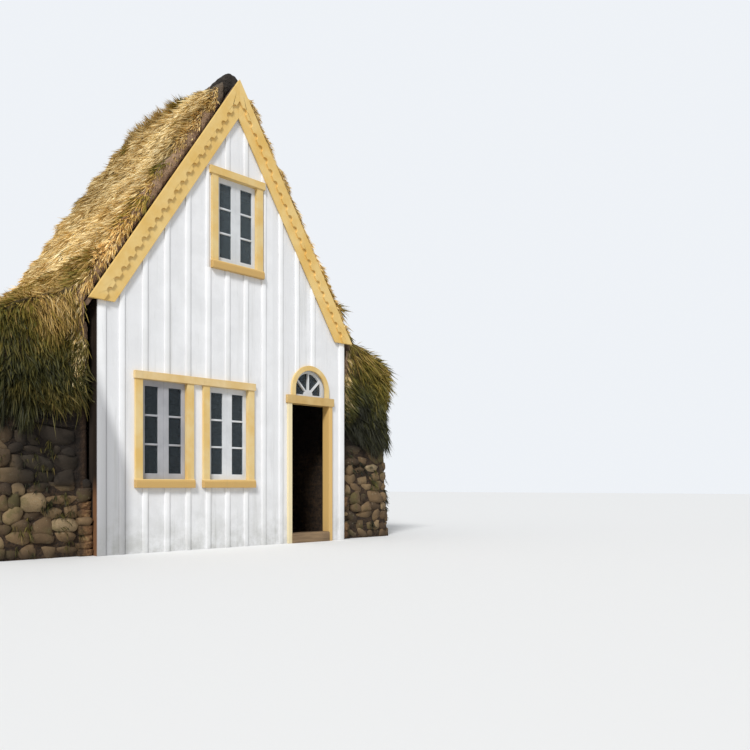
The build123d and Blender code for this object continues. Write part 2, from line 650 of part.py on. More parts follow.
def door_frame():
    """Two jambs, each a lining board through the wall and a casing on its face."""
    jambs = []
    for side in (-1, 1):
        edge = DOOR_X + side * DOOR_WIDTH / 2
        lining = block(*sorted((edge, edge + side * DOOR_LINING)), FRONT_Y, FRONT_BACK_Y, 0, DOOR_HEAD_Z)
        casing = block(*sorted((edge, edge + side * DOOR_CASING)), FRONT_Y - CASING_THICKNESS, FRONT_Y,
                       0, DOOR_HEAD_Z)
        jambs.append(lining + casing)
    return Compound(children=jambs)


def door_hood():
    """Head of the doorway: a transom through the wall and a board that overhangs the jambs."""
    half = DOOR_WIDTH / 2 + DOOR_LINING
    reach = DOOR_WIDTH / 2 + DOOR_CASING + HOOD_REACH
    z1 = DOOR_HEAD_Z + HOOD_HEIGHT
    transom = block(DOOR_X - half, DOOR_X + half, FRONT_Y, FRONT_BACK_Y, DOOR_HEAD_Z, z1)
    hood = block(DOOR_X - reach, DOOR_X + reach, FRONT_Y - HOOD_THICKNESS, FRONT_Y, DOOR_HEAD_Z, z1)
    return transom + hood


def fanlight_arch():
    """Half-round casing on the face of the wall."""
    foot = DOOR_HEAD_Z + HOOD_HEIGHT
    y0 = FRONT_Y - CASING_THICKNESS
    arch = upright(arch_outline(ARCH_OUTER, foot), y0, FRONT_Y)
    return arch - upright(arch_outline(ARCH_INNER, foot - 1), y0 - 1, FRONT_Y + 1)


def fanlight_sash():
    """Rim, bottom rail, hub and radial bars of the fanlight."""
    foot = DOOR_HEAD_Z + HOOD_HEIGHT
    y0, y1 = depth_span(FRONT_Y, -1, SASH_RECESS, FANLIGHT_THICKNESS)
    outer = FANLIGHT_RADIUS - SETTING
    daylight = outer - FANLIGHT_RIM
    sash = upright(arch_outline(outer, foot), y0, y1)
    sash -= upright(arch_outline(daylight, foot + FANLIGHT_RAIL), y0 - 1, y1 + 1)
    middle = Pos(DOOR_X, (y0 + y1) / 2, foot + FANLIGHT_RAIL)
    reach = daylight + ARCH_STILT
    bars = middle * Rot(90, 0, 0) * Cylinder(FANLIGHT_HUB, y1 - y0)
    for i in range(FANLIGHT_BARS):
        turn = 180.0 * (i + 1) / (FANLIGHT_BARS + 1)
        bars += middle * Rot(0, -turn, 0) * Pos(reach / 2, 0, 0) * Box(reach, y1 - y0, FANLIGHT_BAR)
    return sash + (bars & upright(arch_outline(outer - FANLIGHT_RIM / 2, foot), y0, y1))


def fanlight_glass():
    """Pane behind the radial bars."""
    spring = DOOR_HEAD_Z + HOOD_HEIGHT + ARCH_STILT
    radius = FANLIGHT_RADIUS - SETTING
    y0, y1 = depth_span(FRONT_Y, -1, SASH_RECESS + FANLIGHT_THICKNESS + FIT, GLASS_THICKNESS)
    return upright(arch_outline(radius, spring - ARCH_STILT), y0, y1)


def save(node, shape):
    """Writes one piece under its node name."""
    export_step(shape, f"parts/{node}.step")


def main():
    """Builds every piece and writes it."""
    os.makedirs("parts", exist_ok=True)
    for name, side in (("left", -1), ("right", 1)):
        save(f"party_wall_{name}", party_wall(side))
        save(f"posts_{name}", posts(side))
        save(f"rafters_{name}", rafters(side))
        save(f"roof_boards_{name}", roof_boards(side))
        save(f"turf_{name}", turf_slope(side))
        save(f"bargeboard_{name}", bargeboard(side))
        save(f"barge_trim_{name}", barge_trim(side))
    save("rear_wall", rear_wall())
    save("front_wall_left", front_wall_left())
    save("front_wall_right", front_wall_right())
    save("front_wall_over_door", front_wall_over_door())
    save("front_gable", front_gable())
    save("rear_gable", rear_gable())
    save("rear_bargeboards", rear_bargeboards())
    save("wall_plates", wall_plates())
    save("tie_beams", tie_beams())
    save("collar_beams", collar_beams())
    save("loft_floor", loft_floor())
    save("ground_floor", ground_floor())
    save("rear_turf", rear_turf())
    save("ridge_turf", ridge_turf())
    save("ridge_block", ridge_block())
    save("threshold", threshold())
    save("window_head_board", window_head_board())

    left_x, right_x = window_places()
    lower = (WINDOW_SILL_Z, WINDOW_DAYLIGHT, WINDOW_HEIGHT)
    upper = (GABLE_SILL_Z, GABLE_DAYLIGHT, GABLE_WINDOW_HEIGHT)
    windows = (("window_left", left_x, lower, FRONT_Y, -1, False),
               ("window_right", right_x, lower, FRONT_Y, -1, False),
               ("gable_window", 0.0, upper, FRONT_Y, -1, True),
               ("rear_window", 0.0, upper, REAR_Y - VERGE, 1, True))
    for node, x, (sill_z, width, height), face_y, out, head in windows:
        save(f"{node}_frame", window_frame(x, sill_z, width, height, face_y, out, head))
        save(f"{node}_sashes", window_sashes(x, sill_z, width, height, face_y, out))
        save(f"{node}_glass", window_glass(x, sill_z, width, height, face_y, out))

    save("door_frame", door_frame())
    save("door_hood", door_hood())
    save("fanlight_arch", fanlight_arch())
    save("fanlight_sash", fanlight_sash())
    save("fanlight_glass", fanlight_glass())


main()
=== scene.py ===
"""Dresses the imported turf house: painted boards, stone and sod walls, turf and grass.

Metres, +Z up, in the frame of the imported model. X runs along the boarded front, Y from the
front to the back, and the origin is the middle of the house on the ground. Finishes give
their colours as paint chips, with red, green and blue from 0 to 255.
"""

import logging
import math
from dataclasses import dataclass, field
from enum import Enum
from typing import Any, Callable, Iterable, Sequence

import bpy
import numpy as np
from mathutils import Matrix, Vector


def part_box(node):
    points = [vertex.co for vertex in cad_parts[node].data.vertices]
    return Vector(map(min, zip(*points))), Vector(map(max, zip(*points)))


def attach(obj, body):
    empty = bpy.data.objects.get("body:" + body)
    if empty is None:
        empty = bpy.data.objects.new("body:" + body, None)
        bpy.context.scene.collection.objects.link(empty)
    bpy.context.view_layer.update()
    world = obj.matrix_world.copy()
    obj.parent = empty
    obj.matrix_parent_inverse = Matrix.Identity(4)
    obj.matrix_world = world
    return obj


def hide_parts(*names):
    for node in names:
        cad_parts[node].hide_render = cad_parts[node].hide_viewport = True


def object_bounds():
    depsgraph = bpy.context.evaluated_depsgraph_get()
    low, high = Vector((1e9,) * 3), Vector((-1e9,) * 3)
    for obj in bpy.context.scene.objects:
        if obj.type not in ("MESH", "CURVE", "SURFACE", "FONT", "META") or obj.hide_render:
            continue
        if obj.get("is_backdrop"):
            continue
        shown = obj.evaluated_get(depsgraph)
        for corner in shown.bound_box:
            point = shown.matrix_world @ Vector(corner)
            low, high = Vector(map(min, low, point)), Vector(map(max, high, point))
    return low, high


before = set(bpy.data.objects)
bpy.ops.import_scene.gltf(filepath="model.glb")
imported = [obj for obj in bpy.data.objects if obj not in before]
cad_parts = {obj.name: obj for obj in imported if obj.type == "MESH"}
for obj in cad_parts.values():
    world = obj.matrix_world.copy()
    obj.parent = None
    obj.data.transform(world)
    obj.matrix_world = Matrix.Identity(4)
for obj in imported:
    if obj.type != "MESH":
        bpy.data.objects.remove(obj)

log = logging.getLogger("turf_house")

Piece = bpy.types.Object
Material = bpy.types.Material
Array = np.ndarray
Chip = tuple[int, int, int]
Stops = Sequence[tuple[float, Chip]]
Light = tuple[float, float, float, float]
Rectangle = tuple[float, float, float, float]
SIDES = {"left": -1.0, "right": 1.0}
UP = Vector((0.0, 0.0, 1.0))


class Slot(Enum):
    """Slots of the record, by kind of finish."""

    STONE = "wall_stone"
    TURF = "turf"
    DARK_SOD = "dark_sod"
    BOARDS = "white_boards"
    SASH = "white_sash"


class Grain(Enum):
    """Turns that lay the grain of timber along Z, X or Y."""

    UPRIGHT = (0.0, 0.0, 0.0)
    ACROSS = (0.0, math.pi / 2, 0.0)
    LENGTHWISE = (math.pi / 2, 0.0, 0.0)


def linear(chip: Chip) -> Light:
    """Turns a paint chip into the linear colour that a shader takes.

    Args:
        chip: Red, green and blue part, 0 to 255.

    Returns:
        The colour, with an alpha of 1.
    """
    shares = [part / 255.0 for part in chip]
    parts = [share / 12.92 if share <= 0.04045 else ((share + 0.055) / 1.055) ** 2.4 for share in shares]
    return (*parts, 1.0)


# The house's places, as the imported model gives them

@dataclass(frozen=True)
class House:
    """Main places of the house.

    The lean of the stone walls is a share of the height, measured inwards. The turf is bare
    beside the ridge block, out to bare_x and bare_length back.
    """

    half_front: float
    front_y: float
    rear_y: float
    ridge_z: float
    slope: float
    storey_z: float
    hang_z: float
    turf_front_y: float
    turf_rear_y: float
    wall_inner_x: float
    wall_outer_x: float
    wall_front_y: float
    wall_rear_y: float
    bare_x: float = 0.24
    bare_length: float = 0.4
    side_lean: float = 0.05
    front_lean: float = 0.022
    rear_lean: float = 0.03

    @classmethod
    def measured(cls) -> "House":
        """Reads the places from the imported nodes.

        Returns:
            The house.
        """
        barge_low, barge_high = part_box("bargeboard_left")
        boards_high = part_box("roof_boards_left")[1]
        wall_low, wall_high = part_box("front_wall_left")
        party_low, party_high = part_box("party_wall_right")
        slope = (barge_high.z - barge_low.z) / (barge_high.x - barge_low.x)
        return cls(
            half_front=-wall_low.x,
            front_y=wall_low.y,
            rear_y=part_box("rear_gable")[1].y,
            ridge_z=boards_high.z - slope * boards_high.x,
            slope=slope,
            storey_z=wall_high.z,
            hang_z=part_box("rear_turf")[0].z,
            turf_front_y=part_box("ridge_block")[0].y + 0.04,
            turf_rear_y=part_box("ridge_turf")[1].y,
            wall_inner_x=party_low.x,
            wall_outer_x=party_high.x,
            wall_front_y=party_low.y,
            wall_rear_y=party_high.y,
        )

    @property
    def pitch(self) -> float:
        """Pitch of the roof in radians."""
        return math.atan(self.slope)

    def rake_z(self, x: Any, offset: float = 0.0) -> Any:
        """Gives the height of a line parallel to the roof.

        Args:
            x: Distance from the middle, or an array of distances.
            offset: How far the line lies over the roof boards, square to them.

        Returns:
            The height of the line at x.
        """
        return self.ridge_z + offset / math.cos(self.pitch) - self.slope * abs(x)

    def over_boards(self, points: Array) -> Array:
        """How far places lie over the line of the roof boards, square to it."""
        return (points[:, 2] - self.rake_z(points[:, 0])) * math.cos(self.pitch)

    def verge_gap(self, points: Array) -> Array:
        """How far places lie from the nearer end of the turf."""
        return np.minimum(points[:, 1] - self.turf_front_y, self.turf_rear_y - points[:, 1])


# Working with Blender's operators

def deselect() -> None:
    """Leaves edit mode and deselects everything."""
    if bpy.context.object and bpy.context.object.mode != "OBJECT":
        bpy.ops.object.mode_set(mode="OBJECT")
    bpy.ops.object.select_all(action="DESELECT")


def pick(piece: Piece) -> None:
    """Selects one piece and makes it active.

    Args:
        piece: The piece.
    """
    deselect()
    piece.select_set(True)
    bpy.context.view_layer.objects.active = piece


def settle(piece: Piece, name: str) -> Piece:
    """Names a piece and moves its place into its mesh.

    Args:
        piece: The piece.
        name: Its new name.

    Returns:
        The same piece.
    """
    pick(piece)
    bpy.ops.object.transform_apply(location=True, rotation=True, scale=True)
    piece.name = piece.data.name = name
    return piece


def edit_all() -> None:
    """Enters edit mode with all of the active piece selected."""
    bpy.ops.object.mode_set(mode="EDIT")
    bpy.ops.mesh.select_all(action="SELECT")


def modify(piece: Piece, kind: str, keep: bool = False, **settings: Any) -> None:
    """Adds a modifier and applies it.

    Args:
        piece: The piece to change.
        kind: Blender's name for the kind of modifier.
        keep: Leaves the modifier live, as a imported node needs.
        settings: The modifier's own settings.
    """
    made = piece.modifiers.new(kind.title(), kind)
    for key, value in settings.items():
        setattr(made, key, value)
    if not keep:
        pick(piece)
        bpy.ops.object.modifier_apply(modifier=made.name)


def dent(piece: Piece, name: str, size: float, depth: float, detail: int = 3) -> None:
    """Pushes a surface in and out by a cloud pattern.

    Args:
        piece: The piece.
        name: Name of the pattern.
        size: Width of its clouds.
        depth: From the deepest place to the highest.
        detail: How fine its clouds break up.
    """
    texture = bpy.data.textures.new(name, "CLOUDS")
    texture.noise_scale = size
    texture.noise_depth = detail
    modify(piece, "DISPLACE", texture=texture, strength=depth, mid_level=0.5)


def timber(low: Sequence[float], high: Sequence[float], edge: float) -> Piece:
    """Cuts a squared board between two corners and eases its edges.

    Args:
        low: Lowest corner.
        high: Highest corner.
        edge: Width of the eased edge.

    Returns:
        The board.
    """
    deselect()
    centre = [(a + b) / 2 for a, b in zip(low, high)]
    bpy.ops.mesh.primitive_cube_add(size=1.0, location=centre)
    board = bpy.context.object
    board.scale = [b - a for a, b in zip(low, high)]
    settle(board, "board")
    edit_all()
    bpy.ops.mesh.bevel(offset=edge, segments=2, affect="EDGES")
    bpy.ops.object.mode_set(mode="OBJECT")
    return board


def joined(parts: Sequence[Piece], name: str) -> Piece:
    """Joins parts into one piece.

    Args:
        parts: The parts, at least one.
        name: Name of the piece.

    Returns:
        The piece, shaded smooth up to 35 degrees.
    """
    pick(parts[0])
    for part in parts:
        part.select_set(True)
    if len(parts) > 1:
        bpy.ops.object.join()
    piece = settle(bpy.context.object, name)
    bpy.ops.object.shade_smooth_by_angle(angle=math.radians(35.0))
    return piece


def hand_over(piece: Piece, finish: Material, slot: Slot, *nodes: str) -> None:
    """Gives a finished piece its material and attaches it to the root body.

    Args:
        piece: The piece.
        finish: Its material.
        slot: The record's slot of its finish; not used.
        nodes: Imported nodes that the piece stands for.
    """
    piece.data.materials.append(finish)
    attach(piece, "root")
    if nodes:
        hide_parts(*nodes)
    faces = sum(len(face.vertices) - 2 for face in piece.data.polygons)
    log.info("%s: %d triangles", piece.name, faces)


def paint_nodes(finish: Material, nodes: Iterable[str], edge: float = 0.0) -> None:
    """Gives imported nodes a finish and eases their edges.

    Args:
        finish: The finish.
        nodes: Names of the nodes.
        edge: Width of the eased edges, or 0 to leave them sharp.
    """
    for name in nodes:
        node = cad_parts[name]
        if not node.material_slots:
            node.data.materials.append(finish)
        for place in node.material_slots:
            place.material = finish
        if edge:
            modify(node, "WELD", keep=True, merge_threshold=0.0001)
            modify(node, "BEVEL", keep=True, width=edge, segments=2, limit_method="ANGLE",
                   angle_limit=math.radians(40.0), harden_normals=False)
        log.info("%s: finished", name)


# Meshes from arrays

def hashed(cells: Array, seed: int) -> Array:
    """Gives each whole-number cell a steady value from 0 to 1, by mixing bits with large primes.

    Args:
        cells: Whole numbers, one cell a row.
        seed: Picks the pattern.

    Returns:
        One value for each cell.
    """
    mixed = (cells * np.array([73856093, 19349663, 83492791]) + seed * 2654435761).sum(axis=-1)
    mixed = (mixed ^ (mixed >> 13)) * 1274126177 & 0x7FFFFFFF
    return ((mixed ^ (mixed >> 16)) & 0xFFFF) / 65535.0


def soft_noise(points: Array, size: float, seed: int) -> Array:
    """Smooth noise from 0 to 1 at points in space.

    Args:
        points: Places, one a row.
        size: Distance over which the noise changes.
        seed: Picks the pattern.

    Returns:
        One value for each place.
    """
    scaled = points / size
    cell = np.floor(scaled).astype(np.int64)
    part = scaled - cell
    part = part * part * (3.0 - 2.0 * part)
    total = np.zeros(len(points))
    for corner in np.ndindex(2, 2, 2):
        share = np.prod(np.where(corner, part, 1.0 - part), axis=1)
        total += share * hashed(cell + np.array(corner), seed)
    return total


def rising(values: Array, start: float, over: float) -> Array:
    """Rises from 0 at start to 1 at the end of a span, which runs downwards where it is negative."""
    return np.clip((values - start) / over, 0.0, 1.0)


def unit(vectors: Array) -> Array:
    """Scales each row to length 1."""
    return vectors / np.maximum(np.linalg.norm(vectors, axis=1, keepdims=True), 1e-9)


def array_mesh(name: str, points: Array, faces: Array, values: dict[str, Array], smooth: bool) -> Piece:
    """Makes a mesh of triangles from arrays.

    Args:
        name: Name of the piece.
        points: Places, one a row.
        faces: Three point numbers a row.
        values: Attributes, one value a point.
        smooth: Shades the faces smooth.

    Returns:
        The piece, with its place in its mesh.
    """
    mesh = bpy.data.meshes.new(name)
    mesh.vertices.add(len(points))
    mesh.vertices.foreach_set("co", points.astype(np.float32).ravel())
    mesh.loops.add(faces.size)
    mesh.loops.foreach_set("vertex_index", faces.astype(np.int32).ravel())
    mesh.polygons.add(len(faces))
    mesh.polygons.foreach_set("loop_start", np.arange(0, faces.size, 3, dtype=np.int32))
    mesh.polygons.foreach_set("use_smooth", np.full(len(faces), smooth))
    mesh.update(calc_edges=True)
    for label, data in values.items():
        attribute = mesh.attributes.new(label, "FLOAT", "POINT")
        attribute.data.foreach_set("value", data.astype(np.float32))
    piece = bpy.data.objects.new(name, mesh)
    bpy.context.collection.objects.link(piece)
    return piece


def points_of(mesh: bpy.types.Mesh) -> Array:
    """Reads the points of a mesh, one a row.

    Args:
        mesh: The mesh.

    Returns:
        The points.
    """
    points = np.empty(len(mesh.vertices) * 3, np.float32)
    mesh.vertices.foreach_get("co", points)
    return points.reshape(-1, 3)


@dataclass
class Copies:
    """Copies of a few modelled shapes, joined into one mesh."""

    shapes: Sequence[tuple[Array, Array]]
    points: list[Array] = field(default_factory=list)
    faces: list[Array] = field(default_factory=list)
    tones: list[Array] = field(default_factory=list)
    count: int = 0

    def add(self, which: int, place: Matrix, tone: float) -> None:
        """Adds one copy.

        Args:
            which: Number of the shape.
            place: Turns, stretches and moves the shape.
            tone: Value of the attribute "tone" on this copy.
        """
        points, faces = self.shapes[which]
        self.points.append(points @ np.array(place.to_3x3()).T + np.array(place.translation))
        self.faces.append(faces + self.count)
        self.tones.append(np.full(len(points), tone))
        self.count += len(points)

    def piece(self, name: str) -> Piece:
        """Joins the copies into one piece of that name, which ends at the ground.

        Args:
            name: Name of the piece.

        Returns:
            The piece.
        """
        points = np.concatenate(self.points)
        points[:, 2] = np.maximum(points[:, 2], 0.0)
        return array_mesh(name, points, np.concatenate(self.faces),
                          {"tone": np.concatenate(self.tones)}, smooth=True)


# Shader trees

def arithmetic(operation: str) -> Callable[..., "Signal"]:
    """Makes a method of Signal that adds a Math node for that operation."""
    return lambda signal, *others: signal.graph.math(operation, signal, *others)


@dataclass(frozen=True)
class Signal:
    """An output of a node.

    Arithmetic on it adds Math nodes, and a name in brackets picks another output of its node.
    """

    graph: "Graph"
    socket: bpy.types.NodeSocket

    def __getitem__(self, output: str) -> "Signal":
        """Another output of the same node."""
        return Signal(self.graph, self.socket.node.outputs[output])

    __add__ = arithmetic("ADD")
    __sub__ = arithmetic("SUBTRACT")
    __mul__ = arithmetic("MULTIPLY")
    __truediv__ = arithmetic("DIVIDE")
    __abs__ = arithmetic("ABSOLUTE")
    __lt__ = arithmetic("LESS_THAN")

    def __rsub__(self, other: float) -> "Signal":
        """A number less this."""
        return self.graph.math("SUBTRACT", other, self)

    def clamped(self) -> "Signal":
        """Keeps it from 0 to 1."""
        self.socket.node.use_clamp = True
        return self

    def spread(self, low: float, high: float, to_low: float = 0.0, to_high: float = 1.0) -> "Signal":
        """Stretches the span from low to high over another span, smoothly at its ends.

        Args:
            low: Start of the span.
            high: End of the span.
            to_low: What the start becomes.
            to_high: What the end becomes.

        Returns:
            The stretched signal.
        """
        return self.graph.node("MapRange", {"Value": self, "From Min": low, "From Max": high,
                                            "To Min": to_low, "To Max": to_high},
                               interpolation_type="SMOOTHSTEP")


class Graph:
    """Builds one shader node tree."""

    def __init__(self, tree: bpy.types.NodeTree) -> None:
        """Starts from an empty tree."""
        tree.nodes.clear()
        self.tree = tree

    def feed(self, socket: bpy.types.NodeSocket, value: Any) -> None:
        """Links a socket to a signal, or sets its value, of a colour as a paint chip.

        Args:
            socket: The socket.
            value: A signal, a number, a vector or a colour.
        """
        if isinstance(value, Signal):
            self.tree.links.new(value.socket, socket)
        elif socket.type == "RGBA" and len(value) == 3:
            socket.default_value = linear(value)
        else:
            socket.default_value = value

    def add(self, kind: str, inputs: dict | None = None, **settings: Any) -> bpy.types.Node:
        """Adds a node.

        Args:
            kind: Blender's name for the node, without "ShaderNode".
            inputs: Values or signals for its inputs, by name or number.
            settings: The node's own settings.

        Returns:
            The node.
        """
        made = self.tree.nodes.new("ShaderNode" + kind)
        for key, value in settings.items():
            setattr(made, key, value)
        for key, value in (inputs or {}).items():
            self.feed(made.inputs[key], value)
        return made

    def node(self, kind: str, inputs: dict | None = None, **settings: Any) -> Signal:
        """Adds a node and gives its first output."""
        return Signal(self, self.add(kind, inputs, **settings).outputs[0])

    def math(self, operation: str, *values: Any) -> Signal:
        """Works out one number from others."""
        return self.node("Math", dict(enumerate(values)), operation=operation)

    def split(self, vector: Signal) -> Signal:
        """Parts a vector into its "X", "Y" and "Z"."""
        return self.node("SeparateXYZ", {0: vector})

    def attribute(self, name: str) -> Signal:
        """Value of a mesh's attribute."""
        return self.node("Attribute", attribute_name=name)["Fac"]

    def effect(self, tree: bpy.types.NodeTree, vector: Signal, **values: float) -> Signal:
        """Places a shared effect with its own values."""
        return self.node("Group", {"Vector": vector, **values}, node_tree=tree)

    def noise(self, vector: Signal, scale: Any, detail: float = 4.0, rough: float = 0.55,
              stretch: Sequence[float] | None = None) -> Signal:
        """Noise from 0 to 1.

        Args:
            vector: Where on the surface.
            scale: How fine it is.
            detail: How many finer noises are added.
            rough: Share of the finer noises.
            stretch: Factors on the vector, which draw the noise out where they are small.

        Returns:
            The noise.
        """
        if stretch:
            vector = self.node("VectorMath", {0: vector, 1: stretch}, operation="MULTIPLY")
        return self.node("TexNoise", {"Vector": vector, "Scale": scale, "Detail": detail, "Roughness": rough})

    def mix(self, share: Any, first: Any, second: Any, blend: str = "MIX") -> Signal:
        """Mixes two colours, each a signal or a paint chip.

        Args:
            share: Share of the second colour.
            first: Colour where the share is 0.
            second: Colour where the share is 1.
            blend: Blender's name for the way of mixing.

        Returns:
            The mixed colour.
        """
        made = self.add("Mix", data_type="RGBA", blend_type=blend)
        for index, value in ((0, share), (6, first), (7, second)):
            self.feed(made.inputs[index], value)
        return Signal(self, made.outputs[2])

    def ramp(self, share: Signal, stops: Stops) -> Signal:
        """Picks a colour along a row of stops.

        Args:
            share: Place along the row, 0 to 1.
            stops: Places on the row and their colours.

        Returns:
            The colour.
        """
        made = self.node("ValToRGB", {0: share})
        elements = made.socket.node.color_ramp.elements
        while len(elements) < len(stops):
            elements.new(1.0)
        for element, (place, chip) in zip(elements, stops):
            element.position = place
            element.color = linear(chip)
        return made

    def surface(self, colour: Any, rough: Any, height: Signal | None = None, strength: float = 1.0,
                distance: float = 0.01, **plain: float) -> None:
        """Ends a material with its shader.

        Args:
            colour: Base colour.
            rough: Roughness.
            height: Height for the bump, or none.
            strength: Strength of the bump.
            distance: Depth of the bump in metres.
            plain: Values for other inputs of the shader, with _ for a space.
        """
        inputs = {"Base Color": colour, "Roughness": rough}
        if height is not None:
            bump = {"Height": height, "Strength": strength, "Distance": distance}
            inputs["Normal"] = self.node("Bump", bump)
        inputs.update({key.replace("_", " "): value for key, value in plain.items()})
        self.add("OutputMaterial", {"Surface": self.node("BsdfPrincipled", inputs)})


def shared_effect(name: str, usual: dict[str, float],
                  build: Callable[..., dict[str, Signal]]) -> bpy.types.NodeTree:
    """Builds a node group over a vector and named numbers.

    Args:
        name: Name of the group.
        usual: Usual value of each number that it takes.
        build: Builds the nodes from the graph, the vector and the numbers, and gives each output.

    Returns:
        The group.
    """
    tree = bpy.data.node_groups.new(name, "ShaderNodeTree")
    graph = Graph(tree)
    tree.interface.new_socket("Vector", in_out="INPUT", socket_type="NodeSocketVector")
    for label, value in usual.items():
        socket = tree.interface.new_socket(label, in_out="INPUT", socket_type="NodeSocketFloat")
        socket.default_value = value
    entry = tree.nodes.new("NodeGroupInput").outputs
    made = build(graph, *(Signal(graph, entry[label]) for label in ("Vector", *usual)))
    for label in made:
        tree.interface.new_socket(label, in_out="OUTPUT", socket_type="NodeSocketFloat")
    leave = tree.nodes.new("NodeGroupOutput").inputs
    for label, signal in made.items():
        graph.feed(leave[label], signal)
    return tree


class Effects:
    """Shader effects that several finishes share."""

    def __init__(self) -> None:
        """Builds each effect once."""
        self.grain = shared_effect("timber_grain", {"Scale": 60.0}, self.timber_grain)
        self.grime = shared_effect("foot_grime", {"Reach": 0.6, "Amount": 0.5}, self.foot_grime)
        self.mottle = shared_effect("stone_mottle", {"Scale": 8.0}, self.stone_mottle)
        self.chips = shared_effect("paint_chips", {"Amount": 0.1}, self.paint_chips)
        # Painted shade over the upper part of the walls.
        self.painted_shade = shared_effect("wall_painted_shade", {}, self.wall_painted_shade)

    @staticmethod
    def timber_grain(graph: Graph, place: Signal, scale: Signal) -> dict[str, Signal]:
        """Long fibres along Z, coarse and fine.

        Args:
            graph: The graph to build in.
            place: Where on the surface.
            scale: How fine the fibres are.

        Returns:
            The outputs by name.
        """
        wide = graph.noise(place, scale, 5.0, stretch=(1.0, 1.0, 0.06))
        fine = graph.noise(place, scale, 3.0, stretch=(4.0, 4.0, 0.12))
        return {"Fibre": wide * 0.6 + fine * 0.4}

    @staticmethod
    def foot_grime(graph: Graph, place: Signal, reach: Signal, amount: Signal) -> dict[str, Signal]:
        """Dirt that gets stronger towards the ground, and runs down in streaks.

        Args:
            graph: The graph to build in.
            place: Where on the surface.
            reach: Height that the dirt reaches.
            amount: Strength of the dirt.

        Returns:
            The outputs by name.
        """
        near = (1.0 - graph.split(place)["Z"] / reach).clamped()
        splash = graph.math("POWER", near, 1.6) * graph.noise(place, 5.0, 6.0, 0.65).spread(0.3, 0.7)
        streaks = graph.noise(place, 1.0, 5.0, 0.6, (14.0, 14.0, 0.7)).spread(0.52, 0.78) * 0.45
        return {"Mask": ((splash + streaks).clamped() * amount).clamped()}

    @staticmethod
    def stone_mottle(graph: Graph, place: Signal, scale: Signal) -> dict[str, Signal]:
        """Grain and blotches of stone, soil or worn paint."""
        blotch = graph.noise(place, scale, 5.0, 0.6)
        return {"Blotch": blotch.spread(0.3, 0.7), "Speck": graph.noise(place, scale * 9.0, 3.0, 0.7)}

    @staticmethod
    def paint_chips(graph: Graph, place: Signal, amount: Signal) -> dict[str, Signal]:
        """Small places where paint has gone, drawn out along the grain.

        Args:
            graph: The graph to build in.
            place: Where on the surface.
            amount: How much paint has gone.

        Returns:
            The outputs by name.
        """
        flake = graph.noise(place, 38.0, 5.0, 0.7, (1.0, 1.0, 0.25))
        level = flake + graph.noise(place, 3.1, 2.0) * 0.35
        return {"Mask": ((level - (1.02 - amount)) * 14.0).clamped()}

    @staticmethod
    def wall_painted_shade(graph: Graph, place: Signal) -> dict[str, Signal]:
        """Painted shade over the upper part of the walls, from lower down on the left, thinner at the outer
        corners.

        Args:
            graph: The graph to build in.
            place: Where on the surface.

        Returns:
            The outputs by name.
        """
        spot = graph.split(place)
        from_z = spot["X"].spread(-0.5, 0.5, 0.72, 1.25)
        over = spot["Z"] + graph.noise(place, 3.0, 3.0) * 0.3 - from_z
        return {"Mask": over.spread(0.05, 0.35) * abs(spot["X"]).spread(2.6, 2.95, 0.9, 0.4)}


# Finishes

class Finish:
    """A finish of the house."""

    def shade(self, graph: Graph, place: Signal) -> None:
        """Builds the finish's nodes over the object's coordinates."""
        raise NotImplementedError

    def material(self, name: str) -> Material:
        """Builds the finish as a material of that name.

        Args:
            name: Name of the material.

        Returns:
            The material.
        """
        material = bpy.data.materials.new(name)
        material.use_nodes = True
        graph = Graph(material.node_tree)
        self.shade(graph, graph.node("TexCoord")["Object"])
        return material


